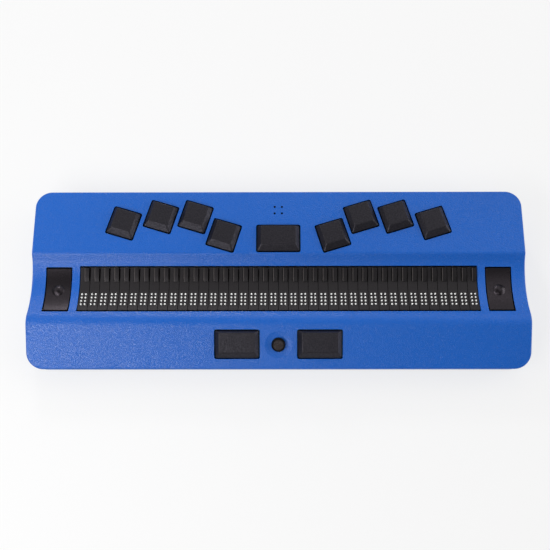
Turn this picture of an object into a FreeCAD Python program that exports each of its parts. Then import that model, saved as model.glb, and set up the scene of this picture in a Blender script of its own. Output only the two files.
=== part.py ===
import FreeCAD, Part

import math
import os

import Sketcher
from FreeCAD import Placement, Rotation, Vector

# Braille display with forty eight-dot cells, eight braille keys, a space key, two front keys,
# a joystick and a rocker pad at each end of the reading line.
# Frame: +X to the reader's right, +Y to the rear, +Z up, origin under the middle of the
# housing on the table. Lengths are millimetres, angles degrees.

SIZES = {
    # Housing, outer form
    "side_margin": 9.1,
    "deck_depth": 42.65,
    "valley_reach": 19.4,
    "front_reach": 54.45,
    "plan_corner": 10.5,
    "plateau_height": 25.0,
    "front_height": 15.2,
    "palm_slope": 21.2,
    "valley_radius": 39.9,
    "valley_depth": 5.8,
    "ridge_slope": 33.0,
    "rear_ridge_round": 4.0,
    "valley_blend": 12.0,
    "front_ridge_round": 10.5,
    "edge_round": 1.0,
    "front_lean": 10.0,
    # Housing, walls and tray
    "wall": 2.2,
    "parting_height": 4.2,
    "foot_proud": 1.2,
    "tray_floor": 2.0,
    "tray_chamfer": 0.8,
    "lip_height": 2.0,
    "lip_wall": 1.4,
    "lip_gap": 0.15,
    # Rubber feet
    "foot_length": 24.0,
    "foot_width": 8.0,
    "foot_corner": 2.0,
    "foot_sink": 0.7,
    "foot_from_side": 27.8,
    "foot_from_edge": 12.25,
    # Reading line
    "cell_count": 40,
    "cell_pitch": 6.42,
    "cell_gap": 0.14,
    "line_rear_reach": 12.0,
    "line_front_reach": 19.3,
    "line_gap": 0.3,
    "line_edge_gap": 0.35,
    "line_recess": 0.25,
    "routing_land_reach": 1.6,
    "dots_rear_reach": 5.25,
    "dots_front_reach": 15.05,
    "dot_pitch": 2.45,
    "pin_width": 1.3,
    "pin_gap": 0.1,
    "pin_rise": 0.7,
    "pin_sink": 4.7,
    "pin_travel": 0.7,
    "pin_floor": 0.3,
    "routing_width": 3.1,
    "routing_shift": 1.25,
    "routing_length": 9.2,
    "routing_rise": 0.8,
    "routing_sink": 2.6,
    "routing_travel": 0.5,
    "routing_gap": 0.12,
    # Chassis and boards
    "chassis_wall": 1.6,
    "chassis_height": 11.0,
    "chassis_gap": 0.4,
    "ledge_width": 3.0,
    "board_thickness": 1.6,
    # Keys
    "key_width": 18.5,
    "key_depth": 18.8,
    "wide_key_width": 28.8,
    "key_corner": 1.1,
    "key_gap": 0.5,
    "key_skirt": 2.4,
    "key_lip": 0.3,
    "key_rise": 3.0,
    "key_side_bevel": 2.5,
    "key_front_bevel": 3.7,
    "key_rear_bevel": 0.9,
    "key_cover": 1.8,
    "key_wall": 1.6,
    "key_travel": 2.5,
    "stem_width": 4.0,
    "stem_gap": 0.1,
    "stem_engage": 2.4,
    "key_turn": 17.2,
    "dot_one_x": 35.5,
    "dot_one_from_rear": 30.45,
    "dot_two_x": 54.2,
    "dot_two_from_rear": 17.75,
    "dot_three_x": 76.8,
    "dot_three_from_rear": 17.65,
    "dot_seven_x": 101.1,
    "dot_seven_from_rear": 22.05,
    "space_from_rear": 32.55,
    "front_key_x": 26.2,
    "front_key_from_front": 14.85,
    # Key switches and their boards
    "switch_width": 13.8,
    "switch_height": 5.6,
    "board_drop": 11.0,
    "switch_floor": 0.2,
    "keyboard_board_width": 228.0,
    "keyboard_board_from_rear": 4.25,
    "keyboard_board_depth": 38.6,
    "front_board_width": 96.0,
    "front_board_depth": 20.0,
    "post_width": 4.0,
    "post_inner_x": 20.0,
    "post_inner_from_rear": 10.75,
    "post_middle_x": 66.0,
    "post_middle_from_rear": 37.25,
    "post_outer_x": 111.6,
    "post_outer_from_rear": 7.05,
    # Joystick
    "joystick_from_front": 14.65,
    "dish_radius": 7.5,
    "dish_depth": 1.15,
    "dish_floor_radius": 5.7,
    "joystick_hole": 4.4,
    "knob_lift": 0.4,
    "knob_radius": 4.45,
    "knob_rim": 1.5,
    "knob_crown": 0.5,
    "knob_crown_radius": 3.6,
    "neck_radius": 2.4,
    "neck_length": 3.4,
    "knob_travel": 0.35,
    "stick_width": 1.7,
    "stick_gap": 0.05,
    "stick_top": 0.3,
    "stick_foot": 1.2,
    "pivot_drop": 8.5,
    "pivot_radius": 0.7,
    "pivot_gap": 0.05,
    "yoke_width": 6.4,
    "yoke_window": 4.0,
    "yoke_height": 2.4,
    "gimbal_gap": 0.4,
    "gimbal_wall": 1.2,
    "gimbal_floor": 0.6,
    # Rocker pads
    "rocker_bar": 5.0,
    "rocker_opening": 17.0,
    "rocker_rear_reach": 11.3,
    "rocker_side_gap": 0.45,
    "rocker_end_gap": 0.55,
    "rocker_thickness": 2.4,
    "rocker_land_reach": 10.2,
    "dome_radius": 3.9,
    "dome_height": 0.9,
    "dome_bevel": 0.8,
    "axle_height": 12.6,
    "axle_radius": 1.5,
    "axle_length": 11.0,
    "axle_gap": 0.05,
    "rocker_neck": 1.6,
    "carrier_width": 12.0,
    "carrier_depth": 6.4,
    "carrier_top": 14.6,
    "carrier_base": 7.4,
    "carrier_mouth": 2.6,
    "carrier_gap": 0.1,
    "rocker_press": 0.8,
    "guide_wall": 2.0,
    "guide_height": 8.2,
    # Power, sound and rear sockets
    "battery_width": 116.0,
    "battery_depth": 34.0,
    "battery_height": 7.8,
    "battery_x": 8.0,
    "battery_from_rear": 24.25,
    "main_board_width": 84.0,
    "main_board_depth": 38.0,
    "main_board_from_side": 59.8,
    "main_board_from_rear": 3.85,
    "main_board_lift": 2.8,
    "socket_from_side": 35.8,
    "socket_width": 9.0,
    "socket_depth": 7.4,
    "socket_height": 3.3,
    "socket_corner": 1.0,
    "socket_sink": 0.3,
    "socket_rim": 0.4,
    "socket_bore": 6.0,
    "socket_gap": 0.2,
    "tongue_width": 6.6,
    "tongue_height": 0.7,
    "tongue_length": 4.6,
    "power_from_side": 61.8,
    "power_lift": 2.4,
    "power_width": 9.0,
    "power_height": 3.6,
    "power_corner": 1.0,
    "power_gap": 0.25,
    "power_rise": 0.0,
    "power_travel": 0.5,
    "power_flange": 1.0,
    "power_flange_step": 1.0,
    "power_flange_gap": 0.05,
    "power_switch_width": 6.0,
    "power_switch_depth": 5.0,
    "power_switch_height": 4.3,
    "power_switch_gap": 0.15,
    "sound_from_rear": 13.05,
    "sound_spacing_x": 4.76,
    "sound_spacing_y": 4.5,
    "sound_hole": 0.75,
    "sounder_width": 15.0,
    "sounder_depth": 11.0,
    "sounder_height": 2.2,
    "ribbon_from_side": 79.8,
    "ribbon_width": 14.0,
    "ribbon_thickness": 0.3,
    "ribbon_run": 5.0,
    "ribbon_from_rear": 34.25,
    # How far a cutting sketch stands off the skin that it opens
    "cut_margin": 1.0,
}


def line_height(place):
    """Formula for the height of the reading line's surface at a place on the valley circle."""
    return f"valley_middle - sqrt(line_radius ^ 2 - ({place} - valley_centre) ^ 2)"


def palm_height(place):
    """Formula for the height of the palm rest's surface."""
    return f"front_height + tan(palm_slope) * ({place} + body_depth / 2)"


# Sizes that follow from the ones above
DERIVED = {
    "body_width": "line_width + 2 * (rocker_bar + rocker_opening + side_margin)",
    "body_depth": "deck_depth + valley_reach + front_reach",
    "rear_ridge": "body_depth / 2 - deck_depth",
    "valley_centre": "rear_ridge - valley_reach",
    "foot_x": "body_width / 2 - foot_from_side",
    "foot_y": "body_depth / 2 - foot_from_edge",
    "line_rear": "valley_centre + line_rear_reach",
    "line_front": "valley_centre - line_front_reach",
    "routing_land": "valley_centre + routing_land_reach",
    "dots_rear": "valley_centre - dots_rear_reach",
    "dots_front": "valley_centre - dots_front_reach",
    "dot_one_y": "body_depth / 2 - dot_one_from_rear",
    "dot_two_y": "body_depth / 2 - dot_two_from_rear",
    "dot_three_y": "body_depth / 2 - dot_three_from_rear",
    "dot_seven_y": "body_depth / 2 - dot_seven_from_rear",
    "space_y": "body_depth / 2 - space_from_rear",
    "front_key_y": "front_key_from_front - body_depth / 2",
    "keyboard_board_rear": "body_depth / 2 - keyboard_board_from_rear",
    "keyboard_board_front": "keyboard_board_rear - keyboard_board_depth",
    "post_inner_y": "body_depth / 2 - post_inner_from_rear",
    "post_middle_y": "body_depth / 2 - post_middle_from_rear",
    "post_outer_y": "body_depth / 2 - post_outer_from_rear",
    "joystick_y": "joystick_from_front - body_depth / 2",
    "rocker_x": "line_width / 2 + rocker_bar + rocker_opening / 2",
    "rocker_land_front": "valley_centre - rocker_land_reach",
    "battery_y": "body_depth / 2 - battery_from_rear",
    "main_board_x": "main_board_from_side - body_width / 2",
    "main_board_rear": "body_depth / 2 - main_board_from_rear",
    "socket_x": "socket_from_side - body_width / 2",
    "power_x": "power_from_side - body_width / 2",
    "sound_y": "body_depth / 2 - sound_from_rear",
    "ribbon_x": "ribbon_from_side - body_width / 2",
    "ribbon_y": "body_depth / 2 - ribbon_from_rear",
    "lean_run": "(front_height - parting_height) * tan(front_lean)",
    "tray_top": "foot_proud + tray_floor",
    "lip_corner": "plan_corner - wall",
    "board_top": "tray_top + main_board_lift + board_thickness",
    "switch_drop": "board_drop - switch_height",
    "stem_drop": "switch_drop + stem_engage",
    "chassis_base": "tray_top + chassis_wall",
    "backplane_top": "chassis_base + 2 * board_thickness",
    "line_width": "cell_count * cell_pitch + 2 * line_gap",
    "line_depth": "line_rear - line_front",
    "line_middle": "(line_rear + line_front) / 2",
    "valley_middle": "plateau_height - valley_depth + valley_radius",
    "line_radius": "valley_radius + line_recess",
    "module_width": "cell_pitch - cell_gap",
    "module_rear": "line_rear - line_edge_gap",
    "module_front": "line_front + line_edge_gap",
    "module_rear_z": line_height("module_rear"),
    "routing_land_z": line_height("routing_land"),
    "dots_rear_z": line_height("dots_rear"),
    "dots_front_z": line_height("dots_front"),
    "module_front_z": line_height("module_front"),
    "routing_y": "(module_rear + routing_land) / 2",
    "routing_z": "(module_rear_z + routing_land_z) / 2",
    "routing_slope": "atan((module_rear_z - routing_land_z) / (module_rear - routing_land)) / 1 deg",
    "dots_y": "(dots_rear + dots_front) / 2",
    "dots_z": "(dots_rear_z + dots_front_z) / 2",
    "dots_slope": "atan((dots_front_z - dots_rear_z) / (dots_rear - dots_front)) / 1 deg",
    "first_cell": "-(cell_count - 1) * cell_pitch / 2",
    "palm_key_z": palm_height("front_key_y"),
    "palm_stick_z": palm_height("joystick_y"),
    "rocker_hole_rear": "valley_centre + rocker_rear_reach",
    "rocker_hole_depth": "rocker_hole_rear - line_front",
    "rocker_hole_middle": "(rocker_hole_rear + line_front) / 2",
    "rocker_rear": "rocker_hole_rear - rocker_end_gap",
    "rocker_front": "line_front + rocker_end_gap",
    "rocker_rear_z": line_height("rocker_rear"),
    "rocker_land_front_z": line_height("rocker_land_front"),
    "rocker_front_z": line_height("rocker_front"),
    "rocker_y": "(routing_land + rocker_land_front) / 2",
    "rocker_z": "(routing_land_z + rocker_land_front_z) / 2",
    "rocker_slope": "atan((rocker_land_front_z - routing_land_z) / (routing_land - rocker_land_front)) / 1 deg",
}

doc = FreeCAD.newDocument("BrailleDisplay")
sheet = doc.addObject("Spreadsheet::Sheet", "Sizes")
for row_number, (alias, value) in enumerate({**SIZES, **DERIVED}.items(), start=1):
    sheet.set(f"A{row_number}", alias)
    sheet.set(f"B{row_number}", f"={value}")
    sheet.setAlias(f"B{row_number}", alias)
doc.recompute()

PARTS = []
PIN_PLACES = {
    "one": (-1, 3),
    "two": (-1, 1),
    "three": (-1, -1),
    "four": (1, 3),
    "five": (1, 1),
    "six": (1, -1),
    "seven": (-1, -3),
    "eight": (1, -3),
}
KEY_DOTS = {"one": "four", "two": "five", "three": "six", "seven": "eight"}
ROUTING_GROUPS = 8
FOOT_ROWS = (("front", "-"), ("rear", ""))
PALM_PLACES = {"front_key": "palm_key_z", "joystick": "palm_stick_z"}
SKIN_CUT = "Sizes.wall + 2 * Sizes.cut_margin"
TILT = Vector(1, 0, 0)
TILT_BACK = Vector(-1, 0, 0)
TURN = Vector(0, 0, 1)
# Pairs of pieces of the side profile that run smoothly into each other: piece, end, next, its end
WAVE_TANGENTS = (
    (0, 2, 1, 1),
    (1, 2, 2, 1),
    (2, 2, 3, 2),
    (3, 1, 4, 2),
    (4, 1, 5, 1),
    (5, 2, 6, 1),
)


def size(alias):
    """Value of one dimension, read back from the sheet."""
    return float(getattr(sheet, alias))


def bind(obj, **expressions):
    """Tie properties of an object to expressions; a double underscore stands for a dot."""
    for name, expression in expressions.items():
        obj.setExpression(name.replace("__", "."), expression)


def keep(obj, label):
    """Mark an object as a finished sub-part and give it its name."""
    obj.Label = label
    PARTS.append(obj)
    return obj


def axis_place(axis, turn, x=0.0, y=0.0, z=0.0):
    return Placement(Vector(x, y, z), Rotation(axis, turn))


def seat(body, x="0", y="0", z="0", axis=None, angle=None):
    """Place a sub-part by expressions for its coordinates and for a turn about an axis."""
    if axis is not None:
        body.Placement = axis_place(axis, 1.0)
        bind(body, Placement__Rotation__Angle=angle)
    bind(body, Placement__Base__x=x, Placement__Base__y=y, Placement__Base__z=z)


def on_palm(body, x, kind):
    """Seat a sub-part on the palm rest with its own z square to the surface."""
    seat(body, x, f"Sizes.{kind}_y", f"Sizes.{PALM_PLACES[kind]}", TILT, "Sizes.palm_slope")


# Sketching and features
def new_body(name, compound=False):
    body = doc.addObject("PartDesign::Body", name)
    body.AllowCompound = compound
    return body


def origin_part(body, role):
    return [feature for feature in body.Origin.OriginFeatures if feature.Role == role][0]


def new_sketch(body, name, role="XY_Plane", x=None, y=None, z=None, axis=None, angle=None):
    """Sketch on one of the body's own origin planes, moved and turned in that plane's frame."""
    sketch = body.newObject("Sketcher::SketchObject", name)
    sketch.AttachmentSupport = [(origin_part(body, role), "")]
    sketch.MapMode = "FlatFace"
    if axis is not None:
        sketch.AttachmentOffset = axis_place(axis, 1.0)
        bind(sketch, AttachmentOffset__Rotation__Angle=angle)
    for coordinate, expression in (("x", x), ("y", y), ("z", z)):
        if expression is not None:
            sketch.setExpression(f"AttachmentOffset.Base.{coordinate}", expression)
    return sketch


def number(expression):
    """Value that an expression has now."""
    return float(doc.Sizes.evalExpression(expression.replace("Sizes.", "")))


def tie(sketch, kind, *spec, name, expression):
    """Add a named dimension to a sketch and bind it."""
    index = sketch.addConstraint(Sketcher.Constraint(kind, *spec, number(expression)))
    sketch.renameConstraint(index, name)
    sketch.setExpression(f"Constraints.{name}", expression)


def closed_lines(sketch, points):
    """Closed run of straight lines through points, joined end to end. Returns the first line's number."""
    first = sketch.GeometryCount
    count = len(points)
    for index, point in enumerate(points):
        sketch.addGeometry(Part.LineSegment(point, points[(index + 1) % count]), False)
    for index in range(count):
        following = first + (index + 1) % count
        sketch.addConstraint(Sketcher.Constraint("Coincident", first + index, 2, following, 1))
    return first


def rectangle(sketch, width, depth):
    """Rectangle about the sketch's origin."""
    half_w = number(width) / 2
    half_d = number(depth) / 2
    first = closed_lines(
        sketch,
        [
            Vector(-half_w, -half_d),
            Vector(half_w, -half_d),
            Vector(half_w, half_d),
            Vector(-half_w, half_d),
        ],
    )
    for index in (0, 2):
        sketch.addConstraint(Sketcher.Constraint("Horizontal", first + index))
    for index in (1, 3):
        sketch.addConstraint(Sketcher.Constraint("Vertical", first + index))
    sketch.addConstraint(Sketcher.Constraint("Symmetric", first, 1, first + 2, 1, -1, 1))
    tie(sketch, "DistanceX", first, 1, first, 2, name=f"width{first}", expression=width)
    tie(sketch, "DistanceY", first + 1, 1, first + 1, 2, name=f"depth{first}", expression=depth)


def cut_corner_rectangle(sketch, width, depth, corner):
    """Rectangle about the sketch's origin with its corners cut off evenly."""
    half_w = number(width) / 2
    half_d = number(depth) / 2
    near_w = half_w - number(corner)
    near_d = half_d - number(corner)
    first = closed_lines(
        sketch,
        [
            Vector(-near_w, -half_d),
            Vector(near_w, -half_d),
            Vector(half_w, -near_d),
            Vector(half_w, near_d),
            Vector(near_w, half_d),
            Vector(-near_w, half_d),
            Vector(-half_w, near_d),
            Vector(-half_w, -near_d),
        ],
    )
    for index in (0, 4):
        sketch.addConstraint(Sketcher.Constraint("Horizontal", first + index))
    for index in (2, 6):
        sketch.addConstraint(Sketcher.Constraint("Vertical", first + index))
    sketch.addConstraint(Sketcher.Constraint("Symmetric", first, 1, first + 4, 1, -1, 1))
    sketch.addConstraint(Sketcher.Constraint("Symmetric", first + 2, 1, first + 6, 1, -1, 1))
    spans = (
        ("DistanceX", first + 1, 1, 2, "cut_a"),
        ("DistanceX", first + 3, 2, 1, "cut_b"),
        ("DistanceX", first + 5, 2, 1, "cut_c"),
        ("DistanceY", first + 1, 1, 2, "cut_d"),
        ("DistanceY", first + 3, 1, 2, "cut_e"),
        ("DistanceY", first + 7, 2, 1, "cut_f"),
    )
    for kind, line, start, end, name in spans:
        tie(sketch, kind, line, start, line, end, name=f"{name}{first}", expression=corner)
    tie(sketch, "DistanceX", first + 7, 1, first + 3, 1, name=f"width{first}", expression=width)
    tie(sketch, "DistanceY", first, 1, first + 4, 1, name=f"depth{first}", expression=depth)


def round_rectangle(sketch, width, depth, radius):
    """Rectangle about the sketch's origin with round corners."""
    far_w = number(width) / 2
    far_d = number(depth) / 2
    round_now = number(radius)
    near_w = far_w - round_now
    near_d = far_d - round_now
    lines = [
        (Vector(-near_w, -far_d), Vector(near_w, -far_d)),
        (Vector(far_w, -near_d), Vector(far_w, near_d)),
        (Vector(near_w, far_d), Vector(-near_w, far_d)),
        (Vector(-far_w, near_d), Vector(-far_w, -near_d)),
    ]
    corners = [
        (Vector(near_w, -near_d), -90, 0),
        (Vector(near_w, near_d), 0, 90),
        (Vector(-near_w, near_d), 90, 180),
        (Vector(-near_w, -near_d), 180, 270),
    ]
    first = sketch.GeometryCount
    for (start, end), (centre, low, high) in zip(lines, corners):
        sketch.addGeometry(Part.LineSegment(start, end), False)
        ring = Part.Circle(centre, TURN, round_now)
        sketch.addGeometry(Part.ArcOfCircle(ring, math.radians(low), math.radians(high)), False)
    for index in range(8):
        following = first + (index + 1) % 8
        sketch.addConstraint(Sketcher.Constraint("Tangent", first + index, 2, following, 1))
    sketch.addConstraint(Sketcher.Constraint("Horizontal", first))
    sketch.addConstraint(Sketcher.Constraint("Vertical", first + 2))
    for index in (3, 5, 7):
        sketch.addConstraint(Sketcher.Constraint("Equal", first + 1, first + index))
    sketch.addConstraint(Sketcher.Constraint("Symmetric", first + 1, 3, first + 5, 3, -1, 1))
    tie(sketch, "Radius", first + 1, name=f"corner{first}", expression=radius)
    tie(sketch, "DistanceX", first + 6, 1, first + 2, 1, name=f"width{first}", expression=width)
    tie(sketch, "DistanceY", first, 1, first + 4, 1, name=f"depth{first}", expression=depth)


def circle(sketch, radius):
    """Circle about the sketch's origin."""
    index = sketch.addGeometry(Part.Circle(Vector(0, 0, 0), TURN, number(radius)), False)
    sketch.addConstraint(Sketcher.Constraint("Coincident", index, 3, -1, 1))
    tie(sketch, "Radius", index, name=f"radius{index}", expression=radius)


def polygon(sketch, sides, radius):
    """Regular polygon about the sketch's origin, on a construction circle."""
    reach = number(radius)
    angles = [2 * math.pi * index / sides for index in range(sides)]
    first = closed_lines(sketch, [Vector(reach * math.cos(a), reach * math.sin(a)) for a in angles])
    ring = sketch.addGeometry(Part.Circle(Vector(0, 0, 0), TURN, reach), True)
    sketch.addConstraint(Sketcher.Constraint("Coincident", ring, 3, -1, 1))
    for index in range(sides):
        sketch.addConstraint(Sketcher.Constraint("PointOnObject", first + index, 1, ring))
    for index in range(1, sides):
        sketch.addConstraint(Sketcher.Constraint("Equal", first, first + index))
    sketch.addConstraint(Sketcher.Constraint("PointOnObject", first, 1, -1))
    tie(sketch, "Radius", ring, name=f"ring{ring}", expression=radius)


def section(sketch, points):
    """Closed outline through points given by expressions for their two coordinates."""
    now = [Vector(number(across), number(height)) for across, height in points]
    first = closed_lines(sketch, now)
    for index, ((across, height), place) in enumerate(zip(points, now)):
        for kind, expression, value in (("DistanceX", across, place.x), ("DistanceY", height, place.y)):
            name = f"{kind[-1].lower()}{index}"
            line = first + index
            if abs(value) < 1e-9:
                lock = 2 if kind == "DistanceX" else 1
                sketch.addConstraint(Sketcher.Constraint("PointOnObject", line, 1, -lock))
            elif value > 0:
                tie(sketch, kind, -1, 1, line, 1, name=name, expression=expression)
            else:
                tie(sketch, kind, line, 1, -1, 1, name=name, expression=f"-({expression})")


def pad(body, sketch, length, name="Pad", down=False, symmetric=False):
    """Extrude a sketch along its normal, or against it."""
    feature = body.newObject("PartDesign::Pad", name)
    feature.Profile = sketch
    feature.Reversed = down
    if symmetric:
        feature.SideType = "Symmetric"
    feature.setExpression("Length", length)
    return feature


def pocket(body, sketch, length=None, name="Pocket", up=False, symmetric=False):
    """Cut a sketch out against its normal, or along it; with no length it cuts right through."""
    feature = body.newObject("PartDesign::Pocket", name)
    feature.Profile = sketch
    feature.Reversed = up
    if symmetric:
        feature.SideType = "Symmetric"
    if length is None:
        feature.Type = "ThroughAll"
    else:
        feature.setExpression("Length", length)
    return feature


def loft(body, low, high, name="Loft", cut=False):
    """Straight-sided transition between two sketches."""
    kind = "PartDesign::SubtractiveLoft" if cut else "PartDesign::AdditiveLoft"
    feature = body.newObject(kind, name)
    feature.Profile = low
    feature.Sections = [high]
    feature.Ruled = True
    return feature


def pattern(body, features, step, name="Row"):
    """Repeat features, or the whole body where none are named, at a steady step.

    The step holds a direction, an expression for the distance and one for the count.
    """
    doc.recompute()
    feature = body.newObject("PartDesign::LinearPattern", name)
    if features:
        feature.Originals = features
    else:
        feature.TransformMode = "Whole shape"
    feature.Direction, distance, count = step
    feature.Mode = "Spacing"
    feature.setExpression("Offset", distance)
    feature.setExpression("Occurrences", count)
    body.Tip = feature
    return feature


def along(body, role):
    """Direction of one of the body's own axes."""
    return (origin_part(body, role), [""])


def mirror(body, features, name="Mirror"):
    """Repeat features on the other side of the middle."""
    feature = body.newObject("PartDesign::Mirrored", name)
    feature.Originals = features
    feature.MirrorPlane = (origin_part(body, "YZ_Plane"), [""])
    body.Tip = feature
    return feature


def fillet(body, base, edges, radius, name="Fillet"):
    feature = body.newObject("PartDesign::Fillet", name)
    feature.Base = (base, edges)
    feature.setExpression("Radius", radius)
    return feature


def bevel(body, base, edges, setback, name="Bevel"):
    feature = body.newObject("PartDesign::Chamfer", name)
    feature.Base = (base, edges)
    feature.setExpression("Size", setback)
    return feature


def edges_where(shape, test):
    """Names of the edges whose ends all pass a test."""
    return [
        f"Edge{index}"
        for index, edge in enumerate(shape.Edges, start=1)
        if all(test(vertex.Point) for vertex in edge.Vertexes)
    ]


# Side profile of the housing: plateau, rear ridge, valley, front ridge and palm rest
def wave_points(inset):
    """Centres, radii and ends of the profile's arcs, drawn in by an even inset."""
    slope = math.radians(size("ridge_slope"))
    palm = math.radians(size("palm_slope"))
    half_depth = size("body_depth") / 2
    valley = Vector(size("valley_centre"), size("valley_middle"))
    radius = size("valley_radius")
    ridge_radius = size("rear_ridge_round")
    ridge = Vector(
        size("rear_ridge") + ridge_radius * math.tan(slope / 2), size("plateau_height") - ridge_radius
    )
    down = Vector(-math.cos(slope), -math.sin(slope))
    out = Vector(-math.sin(slope), math.cos(slope))
    blend_radius = size("valley_blend")
    start = ridge + out * (ridge_radius + blend_radius) - valley
    nearing = down.dot(start)
    run = -nearing + math.sqrt(nearing**2 - start.dot(start) + (radius - blend_radius) ** 2)
    blend = valley + start + down * run
    front_radius = size("front_ridge_round")
    palm_out = Vector(-math.sin(palm), math.cos(palm))
    uphill = Vector(math.cos(palm), math.sin(palm))
    foot = Vector(-half_depth, size("front_height")) - palm_out * front_radius - valley
    reach = uphill.dot(foot)
    travel = -reach - math.sqrt(reach**2 - foot.dot(foot) + (radius + front_radius) ** 2)
    crest = valley + foot + uphill * travel
    to_blend = (blend - valley).normalize()
    to_crest = (crest - valley).normalize()
    inner = half_depth - inset
    front_drop = inset / math.cos(palm) - inset * math.tan(palm)
    return {
        "rear_top": Vector(inner, size("plateau_height") - inset),
        "ridge": ridge,
        "ridge_radius": ridge_radius - inset,
        "ridge_low": ridge + out * (ridge_radius - inset),
        "blend": blend,
        "blend_radius": blend_radius + inset,
        "blend_high": blend - out * (blend_radius + inset),
        "valley": valley,
        "valley_radius": radius + inset,
        "crest": crest,
        "crest_radius": front_radius - inset,
        "crest_front": crest + palm_out * (front_radius - inset),
        "front_top": Vector(-inner, size("front_height") - front_drop),
        "out": out,
        "to_blend": to_blend,
        "to_crest": to_crest,
        "palm_out": palm_out,
    }


def arc_between(centre, radius, low_direction, high_direction):
    """Arc drawn anticlockwise from one direction to another about its centre."""
    low = math.atan2(low_direction.y, low_direction.x)
    high = math.atan2(high_direction.y, high_direction.x)
    if high < low:
        high += 2 * math.pi
    return Part.ArcOfCircle(Part.Circle(centre, TURN, radius), low, high)


def wave_sketch(body, inset, base):
    """The housing's side profile on the body's YZ plane, drawn in by a wall."""
    now = wave_points(number(inset))
    base_now = number(base)
    sketch = new_sketch(body, "SideProfile", "YZ_Plane")
    up = Vector(0, 1)
    rear_low = Vector(now["rear_top"].x, base_now)
    lean = math.tan(math.radians(size("front_lean")))
    front_low = Vector(now["front_top"].x + (now["front_top"].y - base_now) * lean, base_now)
    shapes = [
        Part.LineSegment(now["rear_top"], now["ridge"] + up * now["ridge_radius"]),
        arc_between(now["ridge"], now["ridge_radius"], up, now["out"]),
        Part.LineSegment(now["ridge_low"], now["blend_high"]),
        arc_between(now["blend"], now["blend_radius"], now["to_blend"], now["out"] * -1),
        arc_between(now["valley"], now["valley_radius"], now["to_crest"], now["to_blend"]),
        arc_between(now["crest"], now["crest_radius"], now["to_crest"] * -1, now["palm_out"]),
        Part.LineSegment(now["crest_front"], now["front_top"]),
        Part.LineSegment(now["front_top"], front_low),
        Part.LineSegment(front_low, rear_low),
        Part.LineSegment(rear_low, now["rear_top"]),
    ]
    plateau, ridge, slope, blend, valley, crest, palm, front, bottom, rear = range(10)
    for shape in shapes:
        sketch.addGeometry(shape, False)
    for first, second in ((palm, front), (front, bottom), (bottom, rear), (rear, plateau)):
        sketch.addConstraint(Sketcher.Constraint("Coincident", first, 2, second, 1))
    for joint in WAVE_TANGENTS:
        sketch.addConstraint(Sketcher.Constraint("Tangent", *joint))
    for line in (plateau, bottom):
        sketch.addConstraint(Sketcher.Constraint("Horizontal", line))
    sketch.addConstraint(Sketcher.Constraint("Vertical", rear))
    half = "Sizes.body_depth / 2"
    ridge_y = "Sizes.rear_ridge + Sizes.rear_ridge_round * tan(Sizes.ridge_slope / 2)"
    front_z = f"Sizes.front_height + {inset} * tan(Sizes.palm_slope) - {inset} / cos(Sizes.palm_slope)"
    front_foot = f"{half} - {inset} - ({front_z} - ({base})) * tan(Sizes.front_lean)"
    dimensions = (
        ("Radius", (ridge,), "ridge_radius", f"Sizes.rear_ridge_round - {inset}"),
        ("Radius", (blend,), "blend_radius", f"Sizes.valley_blend + {inset}"),
        ("Radius", (valley,), "valley_radius", f"Sizes.valley_radius + {inset}"),
        ("Radius", (crest,), "crest_radius", f"Sizes.front_ridge_round - {inset}"),
        ("DistanceX", (valley, 3, -1, 1), "valley_y", "-Sizes.valley_centre"),
        ("DistanceY", (-1, 1, valley, 3), "valley_z", "Sizes.valley_middle"),
        ("DistanceX", (-1, 1, ridge, 3), "ridge_y", ridge_y),
        ("DistanceX", (-1, 1, rear, 2), "rear_y", f"{half} - {inset}"),
        ("DistanceY", (-1, 1, rear, 2), "plateau_z", f"Sizes.plateau_height - {inset}"),
        ("DistanceX", (front, 1, -1, 1), "front_y", f"{half} - {inset}"),
        ("DistanceY", (-1, 1, front, 1), "front_z", front_z),
        ("DistanceX", (bottom, 1, -1, 1), "front_foot_y", front_foot),
        ("DistanceY", (-1, 1, bottom, 1), "base_z", base),
    )
    for kind, spec, name, expression in dimensions:
        tie(sketch, kind, *spec, name=name, expression=expression)
    for line, name in ((slope, "ridge_slope"), (palm, "palm_slope")):
        flat = math.pi - math.radians(size(name))
        index = sketch.addConstraint(Sketcher.Constraint("Angle", line, 1, bottom, 1, flat))
        sketch.renameConstraint(index, name)
        sketch.setExpression(f"Constraints.{name}", f"180 - Sizes.{name}")
    return sketch


def wave_block(name, inset, base, width):
    """Solid block with the housing's side profile, its leaning front and round plan corners."""
    body = new_body(name)
    block = pad(body, wave_sketch(body, inset, base), width, symmetric=True)
    doc.recompute()
    far_x = number(width) / 2
    far_y = size("body_depth") / 2 - number(inset)
    reach = size("front_height") * math.tan(math.radians(size("front_lean")))

    def at_corner(point):
        at_end = abs(far_y - point.y) < 0.01 or point.y < reach - far_y + 0.01
        return abs(abs(point.x) - far_x) < 0.01 and at_end

    corners = [
        edge
        for edge in edges_where(block.Shape, at_corner)
        if block.Shape.getElement(edge).BoundBox.ZLength > size("edge_round")
    ]
    fillet(body, block, corners, f"Sizes.plan_corner - {inset}", "PlanCorners")
    doc.recompute()
    return body


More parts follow.
